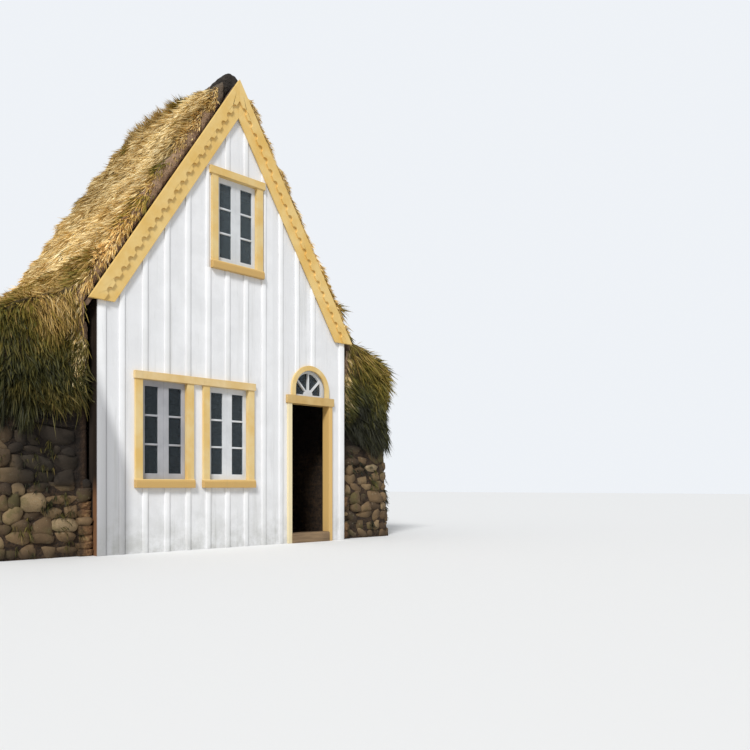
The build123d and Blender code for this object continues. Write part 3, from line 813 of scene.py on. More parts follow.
@dataclass(frozen=True)
class PaintFinish(Finish):
    """Old oil paint on boards.

    The turn, in degrees about Y, lays the grain along the board. With a face_y, all but the
    face there is bare dark timber, with soil low on its ends at edge_x. A span of painted light
    runs from its first X, paler in the faded colour, to its second, where plain paint shows.
    From shaded_x rightwards lies a painted shadow of the wall beside it, grey and wider lower
    down. Sills are the heights of the sills, which are coloured darker. A module is the width
    of boards whose tones differ.
    """

    effects: Effects
    paint: Chip
    faded: Chip
    dirt: Chip = (122, 122, 104)
    bare: Chip = (142, 132, 116)
    inside: Chip = (40, 31, 24)
    soil: Chip = (128, 90, 60)
    painted_shade: Chip = (178, 178, 180)
    sill_colour: Chip = (204, 166, 100)
    sill_reach: float = 0.05
    turn: float = 0.0
    face_y: float | None = None
    edge_x: float = 0.0
    bleached: tuple[float, float] | None = None
    shaded_x: float | None = None
    shaded_width: float = 0.42
    sills: tuple[float, ...] = ()
    grime: float = 0.3
    reach: float = 0.6
    chips: float = 0.1
    module: float = 0.0
    rough: float = 0.55

    def shade(self, graph: Graph, place: Signal) -> None:
        """Paints the boards, board by board, weathers them, and paints light and shade on them where asked.

        Args:
            graph: The graph to build in.
            place: The object's coordinates.
        """
        turned = {"Vector": place, "Rotation": (0.0, math.radians(self.turn), 0.0)}
        along = graph.node("Mapping", turned)
        fibre = graph.effect(self.effects.grain, along, Scale=46.0)
        blotch = graph.effect(self.effects.mottle, along, Scale=3.0)["Blotch"]
        grime = graph.effect(self.effects.grime, place, Reach=self.reach, Amount=self.grime)
        chips = graph.effect(self.effects.chips, along, Amount=self.chips)
        spot = graph.split(place)
        colour = graph.mix(blotch, self.paint, self.faded)
        if self.module:
            board = graph.math("FLOOR", spot["X"] / self.module)
            tone = graph.node("TexWhiteNoise", {"W": board}, noise_dimensions="1D")["Value"]
            colour = graph.mix(tone.spread(0.0, 1.0, 0.0, 0.8), colour, self.faded)
        # Painted light over the paint: the paler faded colour at the span's first X, gone by its second.
        if self.bleached:
            colour = graph.mix(spot["X"].spread(*self.bleached), self.faded, self.paint)
        # Painted shadow of the wall beside the boards, wider lower down.
        if self.shaded_x is not None:
            edge = spot["Z"].spread(0.7, 2.4, self.shaded_x + self.shaded_width, self.shaded_x)
            colour = graph.mix((spot["X"] - edge).spread(-0.1, 0.05, 0.85, 0.0), colour, self.painted_shade)
        # A darker colour at the sills.
        for height in self.sills:
            sill = graph.math("COMPARE", spot["Z"], height, self.sill_reach)
            colour = graph.mix(sill, colour, self.sill_colour)
        colour = graph.mix(fibre.spread(0.56, 0.75) * 0.22, colour, self.dirt)
        colour = graph.mix(grime, colour, self.dirt)
        colour = graph.mix(chips, colour, self.bare)
        if self.face_y is not None:
            painted = graph.math("COMPARE", spot["Y"], self.face_y, 0.004)
            end = graph.math("COMPARE", abs(spot["X"]), self.edge_x, 0.004)
            stained = end * spot["Z"].spread(0.6, 0.95, 1.0, 0.0)
            colour = graph.mix(painted, graph.mix(stained, self.inside, self.soil), colour)
        graph.surface(colour, grime * 0.3 + self.rough, fibre * 0.5 - chips * 0.4, 0.35, 0.002)


@dataclass(frozen=True)
class TimberFinish(Finish):
    """Bare old timber."""

    effects: Effects
    light: Chip
    dark: Chip
    grain: Grain = Grain.UPRIGHT

    def shade(self, graph: Graph, place: Signal) -> None:
        """Draws the grain along the timber, with darker blotches.

        Args:
            graph: The graph to build in.
            place: The object's coordinates.
        """
        along = graph.node("Mapping", {"Vector": place, "Rotation": self.grain.value})
        fibre = graph.effect(self.effects.grain, along, Scale=30.0)
        blotch = graph.effect(self.effects.mottle, place, Scale=4.0)["Blotch"]
        colour = graph.mix(fibre.spread(0.35, 0.65), self.dark, self.light)
        colour = graph.mix(blotch * 0.4, colour, self.dark)
        graph.surface(colour, 0.75, fibre, 0.5, 0.003)


@dataclass(frozen=True)
class StoneFinish(Finish):
    """Field stone whose tone changes from one stone to the next."""

    effects: Effects
    stops: Stops
    lichen: Chip = (150, 142, 116)
    moss: Chip = (84, 80, 36)
    soil: Chip = (54, 41, 30)
    painted_shade_colour: Chip = (26, 21, 16)

    def shade(self, graph: Graph, place: Signal) -> None:
        """Tones the stones, spots them with lichen, moss and soil, and paints shade over their upper part.

        Args:
            graph: The graph to build in.
            place: The object's coordinates.
        """
        mottle = graph.effect(self.effects.mottle, place, Scale=11.0)
        shade = ((mottle["Speck"] - 0.5) * 0.5 + graph.attribute("tone")).clamped()
        colour = graph.ramp(shade, self.stops)
        spots = graph.noise(place, 27.0, 3.0).spread(0.6, 0.72)
        colour = graph.mix(spots * 0.4, colour, self.lichen)
        green = graph.noise(place, 2.6, 5.0, 0.65).spread(0.5, 0.66)
        colour = graph.mix(green * 0.65, colour, self.moss)
        patches = graph.noise(place, 4.0, 4.0).spread(0.45, 0.75) * 0.5
        foot = graph.split(place)["Z"].spread(0.0, 0.22, 0.7, 0.0)
        colour = graph.mix(graph.math("MAXIMUM", patches, foot), colour, self.soil)
        # Painted shade over the upper part of the walls.
        colour = graph.mix(graph.effect(self.effects.painted_shade, place), colour, self.painted_shade_colour)
        graph.surface(colour, 0.88, mottle["Blotch"] * 0.5 + mottle["Speck"], 0.7, 0.008)


@dataclass(frozen=True)
class SoilFinish(Finish):
    """Turf seen from its cut side, or felted old grass from above.

    With a cut, faces towards the front and the back show that soil instead, out to cut_x, and
    dark peat shows within bare's X and before its Y. With clay, it shows beside the boarded
    front, out to clay_x and back to clay_y, and the upper part of the wall gets painted shade.
    A dark_z span paints shade over it, deepening from its upper height down to its lower one.
    """

    effects: Effects
    stops: Stops
    layers: float = 27.0
    cut: Stops | None = None
    cut_x: float = 0.0
    bare: tuple[float, float] | None = None
    peat: Chip = (100, 90, 78)
    clay: Stops | None = None
    clay_x: float = 0.0
    clay_y: float = 0.0
    dark_z: tuple[float, float] | None = None
    painted_shade_colour: Chip = (24, 19, 15)

    def shade(self, graph: Graph, place: Signal) -> None:
        """Lays the soil in layers and clods, and adds what shows in places.

        Args:
            graph: The graph to build in.
            place: The object's coordinates.
        """
        speck = graph.effect(self.effects.mottle, place, Scale=7.0)["Speck"]
        layers = graph.noise(place, self.layers, 4.0, 0.6, (0.12, 0.12, 1.0))
        clods = graph.noise(place, 21.0, 4.0, 0.6)
        spot = graph.split(place)
        shade = (layers * 0.6 + clods * 0.9 + speck * 0.5 - 0.55).clamped()
        shade = (graph.attribute("tone") * 0.3 + shade).clamped()
        colour = graph.ramp(shade, self.stops)
        if self.cut:
            facing = graph.split(graph.node("NewGeometry")["Normal"])["Y"]
            across = abs(spot["X"]) + (clods - 0.5) * 0.25
            inside = across.spread(self.cut_x - 0.1, self.cut_x + 0.1, 1.0, 0.0)
            colour = graph.mix(abs(facing).spread(0.45, 0.7) * inside, colour, graph.ramp(shade, self.cut))
            beside, before = self.bare
            by_block = across.spread(beside, beside + 0.08, 0.85, 0.0) * (spot["Y"] < before)
            colour = graph.mix(by_block, colour, self.peat)
        if self.clay:
            near = abs(spot["X"]).spread(self.clay_x - 0.05, self.clay_x + 0.03, 0.85, 0.0)
            colour = graph.mix(near * (spot["Y"] < self.clay_y), colour, graph.ramp(shade, self.clay))
            # Painted shade over the upper part of the wall.
            colour = graph.mix(graph.effect(self.effects.painted_shade, place) * 0.8, colour, self.painted_shade_colour)
        # Painted shade, deepening towards the lower height of the dark_z span.
        if self.dark_z:
            colour = graph.mix(spot["Z"].spread(*self.dark_z, 0.65, 0.0), colour, self.painted_shade_colour)
        graph.surface(colour, 0.95, layers + clods * 1.6 + speck, 1.0, 0.03)


@dataclass(frozen=True)
class GrassFinish(Finish):
    """Blades of grass: their tint runs from deep green to straw, darker at the root."""

    stops: Stops
    root: float = 0.7

    def shade(self, graph: Graph, place: Signal) -> None:
        """Tints the blades by what each carries, and shades them towards the root.

        Args:
            graph: The graph to build in.
            place: The object's coordinates.
        """
        patch = (graph.noise(place, 3.0, 3.0) - 0.5) * 0.18
        colour = graph.ramp((graph.attribute("tint") + patch).clamped(), self.stops)
        shade = graph.attribute("along").spread(0.0, 0.7, self.root, 1.0) * graph.attribute("light")
        grey = graph.node("CombineColor", {part: shade for part in range(3)})
        graph.surface(graph.mix(1.0, colour, grey, "MULTIPLY"), 0.7)


@dataclass(frozen=True)
class GlassFinish(Finish):
    """Old window glass, slightly wavy, with a share of it under a film of dust."""

    film: float
    tint: Chip = (170, 184, 190)

    def shade(self, graph: Graph, place: Signal) -> None:
        """Waves the glass and dusts it.

        Args:
            graph: The graph to build in.
            place: The object's coordinates.
        """
        dust = graph.noise(place, 9.0, 5.0).spread(0.5, 0.9, 0.03, 0.14)
        graph.surface(self.tint, dust, graph.noise(place, 5.0, 1.0), 0.12, 0.01,
                      Transmission_Weight=1.0 - self.film, IOR=1.45)


@dataclass(frozen=True)
class FloorFinish(Finish):
    """The studio floor: the camera sees one colour, and the house is lit by another."""

    seen: Light
    bounce: Light

    def shade(self, graph: Graph, place: Signal) -> None:
        """Picks the colour by the kind of ray."""
        graph.surface(graph.mix(graph.node("LightPath")["Is Camera Ray"], self.bounce, self.seen), 0.9)


class Finishes:
    """All finishes of the house."""

    GRASS = ((0.0, (46, 46, 18)), (0.2, (88, 88, 26)), (0.4, (136, 120, 38)), (0.6, (186, 150, 80)),
             (0.8, (213, 185, 124)), (1.0, (238, 220, 172)))
    STONE = ((0.0, (56, 42, 29)), (0.3, (94, 74, 50)), (0.55, (122, 98, 68)), (0.8, (142, 119, 86)),
             (1.0, (164, 144, 112)))
    SOD = ((0.0, (24, 18, 13)), (0.35, (50, 37, 26)), (0.6, (80, 60, 40)), (0.85, (110, 86, 54)),
           (1.0, (130, 106, 66)))
    CLAY = ((0.0, (58, 40, 26)), (0.45, (122, 86, 56)), (0.8, (158, 120, 80)), (1.0, (182, 150, 106)))
    FELT = ((0.0, (46, 38, 24)), (0.4, (92, 76, 44)), (0.7, (132, 108, 62)), (1.0, (158, 134, 82)))
    CUT = ((0.0, (112, 88, 68)), (0.4, (170, 138, 110)), (0.75, (200, 170, 136)), (1.0, (216, 190, 152)))
    BLOCK = ((0.0, (26, 23, 21)), (0.5, (58, 51, 45)), (1.0, (98, 88, 74)))

    def __init__(self, effects: Effects, house: House, module: float) -> None:
        """Builds every finish.

        Args:
            effects: The shared effects.
            house: The house's places.
            module: Distance between the battens.
        """
        def paint(name: str, paint: Chip, faded: Chip, **wear: Any) -> Material:
            """Mixes a paint."""
            return PaintFinish(effects, paint, faded, **wear).material(name)

        def wood(name: str, light: Chip, dark: Chip, grain: Grain) -> Material:
            """Picks a timber."""
            return TimberFinish(effects, light, dark, grain).material(name)

        ochre = {"paint": (222, 184, 108), "faded": (230, 204, 146)}
        white = {"paint": (241, 241, 242), "faded": (231, 231, 232), "grime": 0.44, "reach": 0.9,
                 "chips": 0.02, "edge_x": house.half_front, "module": module}
        # The boards and battens carry a painted shadow of the left wall, from the left corner on.
        corner = -house.half_front
        self.front_boards = paint("white_boards", **white, shaded_x=corner, face_y=house.front_y)
        self.rear_boards = paint("white_rear_boards", **white, face_y=house.rear_y)
        self.battens = paint("white_battens", (247, 247, 248), (240, 240, 240), chips=0.05, reach=0.7,
                             shaded_x=corner)
        self.sash = paint("white_sash", (224, 226, 228), (204, 206, 208), grime=0.1, chips=0.08)
        self.grey_sash = paint("grey_sash", (176, 176, 180), (156, 156, 161), grime=0.2)
        sills = tuple(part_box(f"{name}_frame")[0].z + 0.045 for name in ("window_left", "gable_window"))
        self.trim = paint("yellow_trim", **ochre, grime=0.2, sills=sills)
        self.head_board = paint("yellow_head_board", (220, 186, 122), (232, 206, 156), turn=90.0, grime=0.2,
                                chips=0.12)
        self.hood = paint("yellow_hood", (196, 158, 92), (212, 180, 120), turn=90.0, chips=0.12)
        # The doorway's casing gets painted light, paler towards its left side.
        door_low, door_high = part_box("door_frame")
        self.doorway = paint("yellow_doorway", (222, 182, 112), (240, 224, 182), grime=0.25,
                             bleached=(door_low.x + 0.1, door_high.x - 0.1))
        self.rakes = {name: paint(f"yellow_rake_{name}", (226, 184, 100), (236, 204, 134), turn=side * -32.0,
                                  grime=0.15, chips=0.12) for name, side in SIDES.items()}
        self.rear_rakes = paint("yellow_rear_rakes", **ochre, grime=0.15, chips=0.12)
        self.glass = {name: GlassFinish(film).material(f"window_glass_{name}")
                      for name, film in (("clear", 0.02), ("dusty", 0.05), ("dull", 0.1))}
        self.stone = StoneFinish(effects, self.STONE).material("wall_stone")
        self.sod = SoilFinish(effects, self.SOD, clay=self.CLAY, clay_x=house.wall_inner_x + 0.1,
                              clay_y=house.wall_front_y + 0.2).material("wall_sod")
        by_block = (house.bare_x, house.turf_front_y + house.bare_length)
        # Painted shade on the turf that hangs over the walls, deepening from 2.8 m down to 1.9 m.
        self.felt = SoilFinish(effects, self.FELT, layers=9.0, cut=self.CUT, cut_x=house.wall_inner_x + 0.22,
                               bare=by_block, dark_z=(1.9, 2.8)).material("roof_turf")
        self.block = SoilFinish(effects, self.BLOCK).material("dark_sod")
        self.grass = GrassFinish(self.GRASS).material("roof_grass")
        self.upright, self.cross, self.lengthwise = (
            wood(name, (62, 48, 35), (34, 26, 19), grain)
            for name, grain in zip(("frame_timber", "cross_timber", "plate_timber"), Grain))
        self.floor = wood("floor_boards", (66, 53, 41), (40, 31, 24), Grain.LENGTHWISE)
        self.roof_boards = wood("roof_boards", (132, 108, 88), (88, 68, 54), Grain.ACROSS)
        self.step = wood("worn_step", (152, 126, 94), (106, 86, 64), Grain.ACROSS)


# The boarded fronts

def cut_rectangle(plate: Rectangle, hole: Rectangle) -> list[Rectangle]:
    """Cuts a hole out of an upright rectangle (x0, x1, z0, z1).

    Args:
        plate: The rectangle.
        hole: The rectangle to keep clear.

    Returns:
        What is left, as up to four rectangles.
    """
    x0, x1, z0, z1 = plate
    a, b, c, d = max(x0, hole[0]), min(x1, hole[1]), max(z0, hole[2]), min(z1, hole[3])
    if a >= b or c >= d:
        return [plate]
    return [(x0, x1, z0, c), (x0, x1, d, z1), (x0, a, c, d), (b, x1, c, d)]


def clear_of(*nodes: str) -> list[Rectangle]:
    """Rectangles that these nodes cover, seen from the front."""
    boxes = [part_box(node) for node in nodes]
    return [(low.x, high.x, low.z, high.z) for low, high in boxes]


@dataclass
class Boarding:
    """Battens over the joints of the upright boards."""

    house: House
    finishes: Finishes
    module: float = 0.29
    width: float = 0.065
    thickness: float = 0.016
    edge: float = 0.003
    first: float = 0.2975
    corner_width: float = 0.1
    under_roof: float = 0.035
    least: float = 0.01
    arch_gap: float = 0.001

    def strips(self, foot_z: float, holes: Sequence[Rectangle]) -> list[Rectangle]:
        """Lays out the battens of one face.

        Args:
            foot_z: Height of their lower ends.
            holes: What they are cut round.

        Returns:
            The rectangle of each batten.
        """
        half = self.house.half_front
        count = int((2 * half - self.first) / self.module) + 1
        middles = [self.module * k + self.first - half for k in range(count)]
        spans = [(x - self.width / 2, x + self.width / 2) for x in middles
                 if abs(x) + self.width / 2 < half - self.corner_width]
        spans += [(-half, self.corner_width - half), (half - self.corner_width, half)]
        left = [(x0, x1, foot_z, self.house.rake_z(max(abs(x0), abs(x1)), -self.under_roof))
                for x0, x1 in spans]
        for hole in holes:
            left = [part for plate in left for part in cut_rectangle(plate, hole)]
        return [part for part in left
                if part[1] - part[0] > self.least and part[3] - part[2] > self.least]

    def nailed(self, name: str, strips: Sequence[Rectangle], face_y: float, out: float) -> Piece:
        """Cuts the battens and joins them.

        Args:
            name: Name of the piece.
            strips: Rectangle of each batten.
            face_y: Face of the boards.
            out: -1 for the front and 1 for the back.

        Returns:
            The battens as one piece.
        """
        y0, y1 = sorted((face_y, face_y + out * self.thickness))
        return joined([timber((x0, y0, z0), (x1, y1, z1), self.edge) for x0, x1, z0, z1 in strips], name)

    def build(self) -> None:
        """Builds the battens of the front, cut to the fanlight's arch, and of the rear gable."""
        holes = clear_of("window_left_frame", "window_right_frame", "window_head_board",
                         "gable_window_frame", "door_frame", "door_hood")
        low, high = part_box("fanlight_arch")
        radius = (high.x - low.x) / 2
        holes.append((low.x - self.arch_gap, high.x + self.arch_gap, low.z, high.z - radius))
        front = self.nailed("front_battens", self.strips(0.0, holes), self.house.front_y, -1.0)
        deselect()
        bpy.ops.mesh.primitive_cylinder_add(vertices=96, radius=radius + self.arch_gap, depth=0.4,
                                            location=((low.x + high.x) / 2, low.y, high.z - radius),
                                            rotation=(math.pi / 2, 0.0, 0.0))
        cutter = settle(bpy.context.object, "arch_cutter")
        modify(front, "BOOLEAN", operation="DIFFERENCE", object=cutter, solver="EXACT")
        bpy.data.objects.remove(cutter)
        rear_strips = self.strips(self.house.storey_z, clear_of("rear_window_frame"))
        rear = self.nailed("rear_battens", rear_strips, self.house.rear_y, 1.0)
        for piece in (front, rear):
            hand_over(piece, self.finishes.battens, Slot.BOARDS)
        paint_nodes(self.finishes.front_boards, ("front_wall_left", "front_wall_right",
                                                 "front_wall_over_door", "front_gable"))
        paint_nodes(self.finishes.rear_boards, ["rear_gable"])


@dataclass
class Joinery:
    """Windows, doorway, fanlight, bargeboards and the frame inside.

    The bars are let into the sashes by their tenons. The eased edges of thin boards, of frames
    and sashes, and of posts and beams have widths of their own.
    """

    finishes: Finishes
    bars: int = 2
    bar_height: float = 0.024
    bar_depth: float = 0.034
    bar_edge: float = 0.005
    tenon: float = 0.004
    thin_edge: float = 0.003
    frame_edge: float = 0.004
    beam_edge: float = 0.006

    def window(self, name: str, sash: Material) -> None:
        """Adds the cross bars of one window's casements.

        Args:
            name: Name of the window, without "_glass" or "_sashes".
            sash: Paint of its sashes.
        """
        low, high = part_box(f"{name}_glass")
        sash_low, sash_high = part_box(f"{name}_sashes")
        middle_y = (sash_low.y + sash_high.y) / 2
        panes = sorted({round(corner.co.x, 4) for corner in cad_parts[f"{name}_glass"].data.vertices})
        bars = []
        for x0, x1 in ((panes[0], panes[1]), (panes[2], panes[3])):
            for step in range(self.bars):
                z = low.z + (high.z - low.z) * (step + 1) / (self.bars + 1)
                bars.append(timber((x0 - self.tenon, middle_y - self.bar_depth / 2, z - self.bar_height / 2),
                                   (x1 + self.tenon, middle_y + self.bar_depth / 2, z + self.bar_height / 2),
                                   self.bar_edge))
        hand_over(joined(bars, f"{name}_bars"), sash, Slot.SASH)

    def build(self) -> None:
        """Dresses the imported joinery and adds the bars. The sashes beside the left wall are the greyest."""
        made = self.finishes
        windows = {"window_left": (made.grey_sash, "clear"), "window_right": (made.sash, "dusty"),
                   "gable_window": (made.sash, "dull"), "rear_window": (made.sash, "dull")}
        for name, (sash, panes) in windows.items():
            self.window(name, sash)
            paint_nodes(sash, [f"{name}_sashes"], self.frame_edge)
            paint_nodes(made.glass[panes], [f"{name}_glass"])
        paint_nodes(made.glass["dusty"], ["fanlight_glass"])
        for finish, *nodes in ((made.sash, "fanlight_sash"), (made.head_board, "window_head_board"),
                               (made.trim, *(f"{name}_frame" for name in windows)),
                               (made.hood, "door_hood"), (made.doorway, "door_frame")):
            paint_nodes(finish, nodes, self.frame_edge)
        paint_nodes(made.trim, ["fanlight_arch"], self.thin_edge)
        paint_nodes(made.rear_rakes, ["rear_bargeboards"], self.thin_edge)
        for name in SIDES:
            paint_nodes(made.rakes[name], [f"bargeboard_{name}", f"barge_trim_{name}"], self.thin_edge)
            paint_nodes(made.upright, [f"posts_{name}"], self.beam_edge)
            paint_nodes(made.cross, [f"rafters_{name}"])
            paint_nodes(made.roof_boards, [f"roof_boards_{name}"])
        paint_nodes(made.lengthwise, ["wall_plates"], self.beam_edge)
        paint_nodes(made.cross, ["tie_beams", "collar_beams"], self.beam_edge)
        paint_nodes(made.floor, ["ground_floor", "loft_floor"])
        paint_nodes(made.step, ["threshold"])


# The stone and sod walls

@dataclass
class WallLine:
    """The line on the ground round the outer faces of the stone walls.

    It starts at the front beside the boarded front's left corner, runs round the back and ends
    beside the right corner.
    """

    house: House
    corner: float = 0.26
    start_gap: float = 0.07
    corner_steps: int = 8

    def __post_init__(self) -> None:
        """Works out points along the line, with a quarter round at each corner."""
        house = self.house
        inner, across = house.wall_inner_x + self.start_gap, house.wall_outer_x - self.corner
        near, far = house.wall_front_y + self.corner, house.wall_rear_y - self.corner
        points, normals = [(-inner, house.wall_front_y)], [(0.0, -1.0)]
        for x, y, bearing in ((-across, near, 270.0), (-across, far, 180.0),
                              (across, far, 90.0), (across, near, 0.0)):
            for step in range(self.corner_steps + 1):
                turn = math.radians(bearing - 90.0 * step / self.corner_steps)
                facing = (math.cos(turn), math.sin(turn))
                points.append((x + self.corner * facing[0], y + self.corner * facing[1]))
                normals.append(facing)
        self.points = np.array([*points, (inner, house.wall_front_y)])
        self.normals = np.array([*normals, (0.0, -1.0)])
        steps = np.linalg.norm(np.diff(self.points, axis=0), axis=1)
        self.distance = np.concatenate([[0.0], np.cumsum(steps)])
        self.length = float(self.distance[-1])

    def between(self, along: float, rows: Array) -> list[float]:
        """Finds a pair of values at a distance along the line."""
        return [float(np.interp(along, self.distance, rows[:, column])) for column in (0, 1)]

    def room(self, along: float, wide: float, narrow: float) -> float:
        """Keeps a block narrow where the line turns a corner.

        Args:
            along: Distance along the line of the block's start.
            wide: Its width on a straight wall.
            narrow: Its width on a corner.

        Returns:
            Its width.
        """
        start, end = self.at(along, 0.0)[1], self.at(min(along + wide, self.length), 0.0)[1]
        return min(wide, narrow) if start.dot(end) < 0.97 else wide

    def at(self, along: float, height: float) -> tuple[Vector, Vector]:
        """Finds a place on the leaning face.

        Args:
            along: Distance along the line.
            height: Height over the ground.

        Returns:
            The place and the way out of the wall.
        """
        out = Vector((*self.between(along, self.normals), 0.0)).normalized()
        lengthwise = self.house.front_lean if out.y < 0 else self.house.rear_lean
        lean = abs(out.x) * self.house.side_lean + abs(out.y) * lengthwise
        return Vector((*self.between(along, self.points), height)) - out * lean * height, out

    def part(self, along: float) -> str:
        """Names the wall at a distance along the line.

        Args:
            along: Distance along the line.

        Returns:
            The wall's name: left, rear or right.
        """
        x, y = self.between(along, self.points)
        if y > self.house.wall_rear_y - 0.2:
            return "rear"
        return "left" if x < 0 else "right"


@dataclass(frozen=True)
class Laying:
    """How one kind of block is modelled and laid.

    Planes split a cube, which is remeshed with faces of voxel size, and a share of them stays.
    Blocks are wider by lap than their room, and step on by less than it. Their lean is a share
    of the largest one, and the next course lies up by the bed's share of the rise.
    """

    first: int
    splits: int
    voxel: float
    keep: float
    rise: tuple[float, float]
    width: tuple[float, float]
    height: tuple[float, float]
    lap: float
    step: float
    lean: float
    bed: float


class Kind(Enum):
    """Kinds of block. A stone's width is a share of its course's rise, and a sod's is in metres."""

    STONES = Laying(first=0, splits=11, voxel=0.1, keep=0.09, rise=(0.13, 0.21), width=(0.9, 2.2),
                    height=(0.85, 1.3), lap=1.06, step=0.97, lean=1.0, bed=0.9)
    SODS = Laying(first=50, splits=5, voxel=0.12, keep=0.12, rise=(0.08, 0.12), width=(0.28, 0.6),
                  height=(0.9, 1.25), lap=1.12, step=0.9, lean=0.3, bed=1.0)


@dataclass
class Walling:
    """Field stones in wandering courses, with sods laid over them up to the hanging turf.

    Stones reach up to stone_top, give or take half of top_ripple. The corners beside the
    boarded front are packed up to corner_top, with a share of stones.
    """

    house: House
    finishes: Finishes
    line: WallLine
    stone_top: float = 1.3
    top_ripple: float = 0.45
    sway: float = 0.09
    lean: float = 0.16
    proud: float = 0.03
    depth: float = 0.22
    corner_room: float = 0.14
    corner_top: float = 0.85
    corner_rise: tuple[float, float] = (0.05, 0.14)
    corner_width: tuple[float, float] = (0.1, 0.2)
    corner_lean: float = 0.12
    corner_stones: float = 0.35
    corner_gap: float = 0.004
    shapes: int = 14
    seed: int = 11

    def block(self, laying: Laying, index: int) -> tuple[Array, Array]:
        """Models one stone or sod, about 1 by 1 by 1: a cube split by planes and worn.

        Args:
            laying: How its kind is modelled.
            index: Number of the shape, which picks its planes.

        Returns:
            Its points, and its faces as rows of three point numbers.
        """
        rng = np.random.default_rng([self.seed, laying.first + index])
        deselect()
        bpy.ops.mesh.primitive_cube_add(size=1.0)
        block = bpy.context.object
        bpy.ops.object.mode_set(mode="EDIT")
        for _ in range(laying.splits):
            facing = Vector(rng.normal(size=3)).normalized()
            bpy.ops.mesh.select_all(action="SELECT")
            bpy.ops.mesh.bisect(plane_co=facing * rng.uniform(0.46, 0.62), plane_no=facing,
                                clear_outer=True, use_fill=True)
        bpy.ops.object.mode_set(mode="OBJECT")
        modify(block, "REMESH", mode="VOXEL", voxel_size=laying.voxel)
        modify(block, "SMOOTH", factor=0.5, iterations=3)
        dent(block, "dents", 0.3, 0.09)
        modify(block, "DECIMATE", ratio=laying.keep)
        modify(block, "TRIANGULATE")
        points = points_of(block.data)
        faces = np.array([list(face.vertices) for face in block.data.polygons])
        bpy.data.objects.remove(block)
        low, high = points.min(axis=0), points.max(axis=0)
        return (points - (high + low) / 2) / (high - low), faces

    def place(self, along: float, height: float, size: Vector, proud: float, turn: float) -> Matrix:
        """Sets a block into the face of the wall.

        Args:
            along: Distance along the wall line of the block's middle.
            height: Height of its middle.
            size: Width, depth and height.
            proud: How far its face stands out of the wall.
            turn: Lean along the wall, in radians.

        Returns:
            The matrix that places a shape of size 1.
        """
        spot, out = self.line.at(along, height)
        axes = Matrix((out.cross(UP), out, UP)).transposed().to_4x4()
        centre = spot + out * (proud - size.y / 2)
        return (Matrix.Translation(centre) @ axes @ Matrix.Rotation(turn, 4, "Y")
                @ Matrix.Diagonal((*size, 1.0)))

    def build(self) -> None:
        """Lays all courses and hands over the stones and sods of each wall."""
        rng = np.random.default_rng(self.seed)
        piles = {}
        for kind in Kind:
            shapes = [self.block(kind.value, index) for index in range(self.shapes)]
            piles.update({(kind, part): Copies(shapes) for part in ("left", "rear", "right")})
        foot = 0.0
        while foot < self.house.hang_z:
            kind = Kind.STONES if foot < self.stone_top + self.top_ripple / 2 else Kind.SODS
            rise = rng.uniform(*kind.value.rise)
            self.course(rng, piles, foot, rise, kind)
            foot += rise * kind.value.bed
        self.fill_corners(rng, piles)
        for (kind, part), copies in piles.items():
            finish = self.finishes.stone if kind is Kind.STONES else self.finishes.sod
            hand_over(copies.piece(f"wall_{kind.name.lower()}_{part}"), finish, Slot.STONE)
        paint_nodes(self.finishes.sod, ("party_wall_left", "party_wall_right", "rear_wall"))

    def fill_corners(self, rng: np.random.Generator, piles: dict) -> None:
        """Packs stones and sods between the wall ends and the boarded front, up to knee height.

        Args:
            rng: Source of the sizes.
            piles: The copies of each kind and wall.
        """
        house = self.house
        for name, side in SIDES.items():
            foot = 0.0
            while foot < self.corner_top:
                rise = rng.uniform(*self.corner_rise)
                size = Vector((rng.uniform(*self.corner_width),
                               house.wall_front_y - house.front_y + 0.06, rise * 1.25))
                front = house.front_y + 0.03 + rng.uniform(0.0, 0.09) + 0.05 * foot
                x = side * (house.half_front + self.corner_gap + size.x / 2)
                centre = Vector((x, front + size.y / 2, foot + size.z / 2))
                lean = rng.uniform(-self.corner_lean, self.corner_lean)
                place = (Matrix.Translation(centre) @ Matrix.Rotation(lean, 4, "Y")
                         @ Matrix.Diagonal((*size, 1.0)))
                kind = Kind.STONES if rng.uniform() < self.corner_stones else Kind.SODS
                piles[kind, name].add(int(rng.integers(self.shapes)), place,
                                      rng.uniform(0.0, 0.7) + 0.35 * (foot < 0.5))
                foot += rise

    def course(self, rng: np.random.Generator, piles: dict, foot: float, rise: float, main: Kind) -> None:
        """Lays one course round the walls.

        Args:
            rng: Source of the sizes.
            piles: The copies of each kind and wall.
            foot: Height of the course's lower edge.
            rise: Height of the course.
            main: Its kind of block. Stones give way to sods where the line between them runs lower.
        """
        def wander(x: float, y: float, size: float, seed: int) -> float:
            """Smooth chance about 0, at one place."""
            return float(soft_noise(np.array([[x, y, 0.0]]), size, seed)[0]) - 0.5

        along = rng.uniform(0.0, 0.12)
        while along < self.line.length - 0.1:
            edge = self.stone_top + self.top_ripple * wander(along, 0.0, 0.8, 5)
            stone = main is Kind.STONES and foot < edge
            kind = Kind.STONES if stone else Kind.SODS
            laying = kind.value
            wide = rng.uniform(*laying.width) * (rise if stone else 1.0)
            tall = rng.uniform(*laying.height) * (rise if stone else min(rise, laying.rise[1]))
            wide = min(self.line.room(along, wide, self.corner_room), self.line.length - along)
            middle = along + wide / 2
            sway = self.sway * wander(middle, foot, 0.5, 8) if foot > 0.1 else 0.0
            height = max(foot + rise / 2 + sway, tall * 0.4)
            size = Vector((wide * laying.lap, self.depth, tall))
            proud = self.proud + rng.uniform(-0.018, 0.016)
            lean = rng.uniform(-self.lean, self.lean) * laying.lean
            tone = rng.beta(2.2, 2.2) if stone else rng.uniform(0.0, 1.0)
            pile = piles[kind, self.line.part(middle)]
            pile.add(int(rng.integers(self.shapes)), self.place(middle, height, size, proud, lean), tone)
            along += wide * laying.step


# Turf and grass

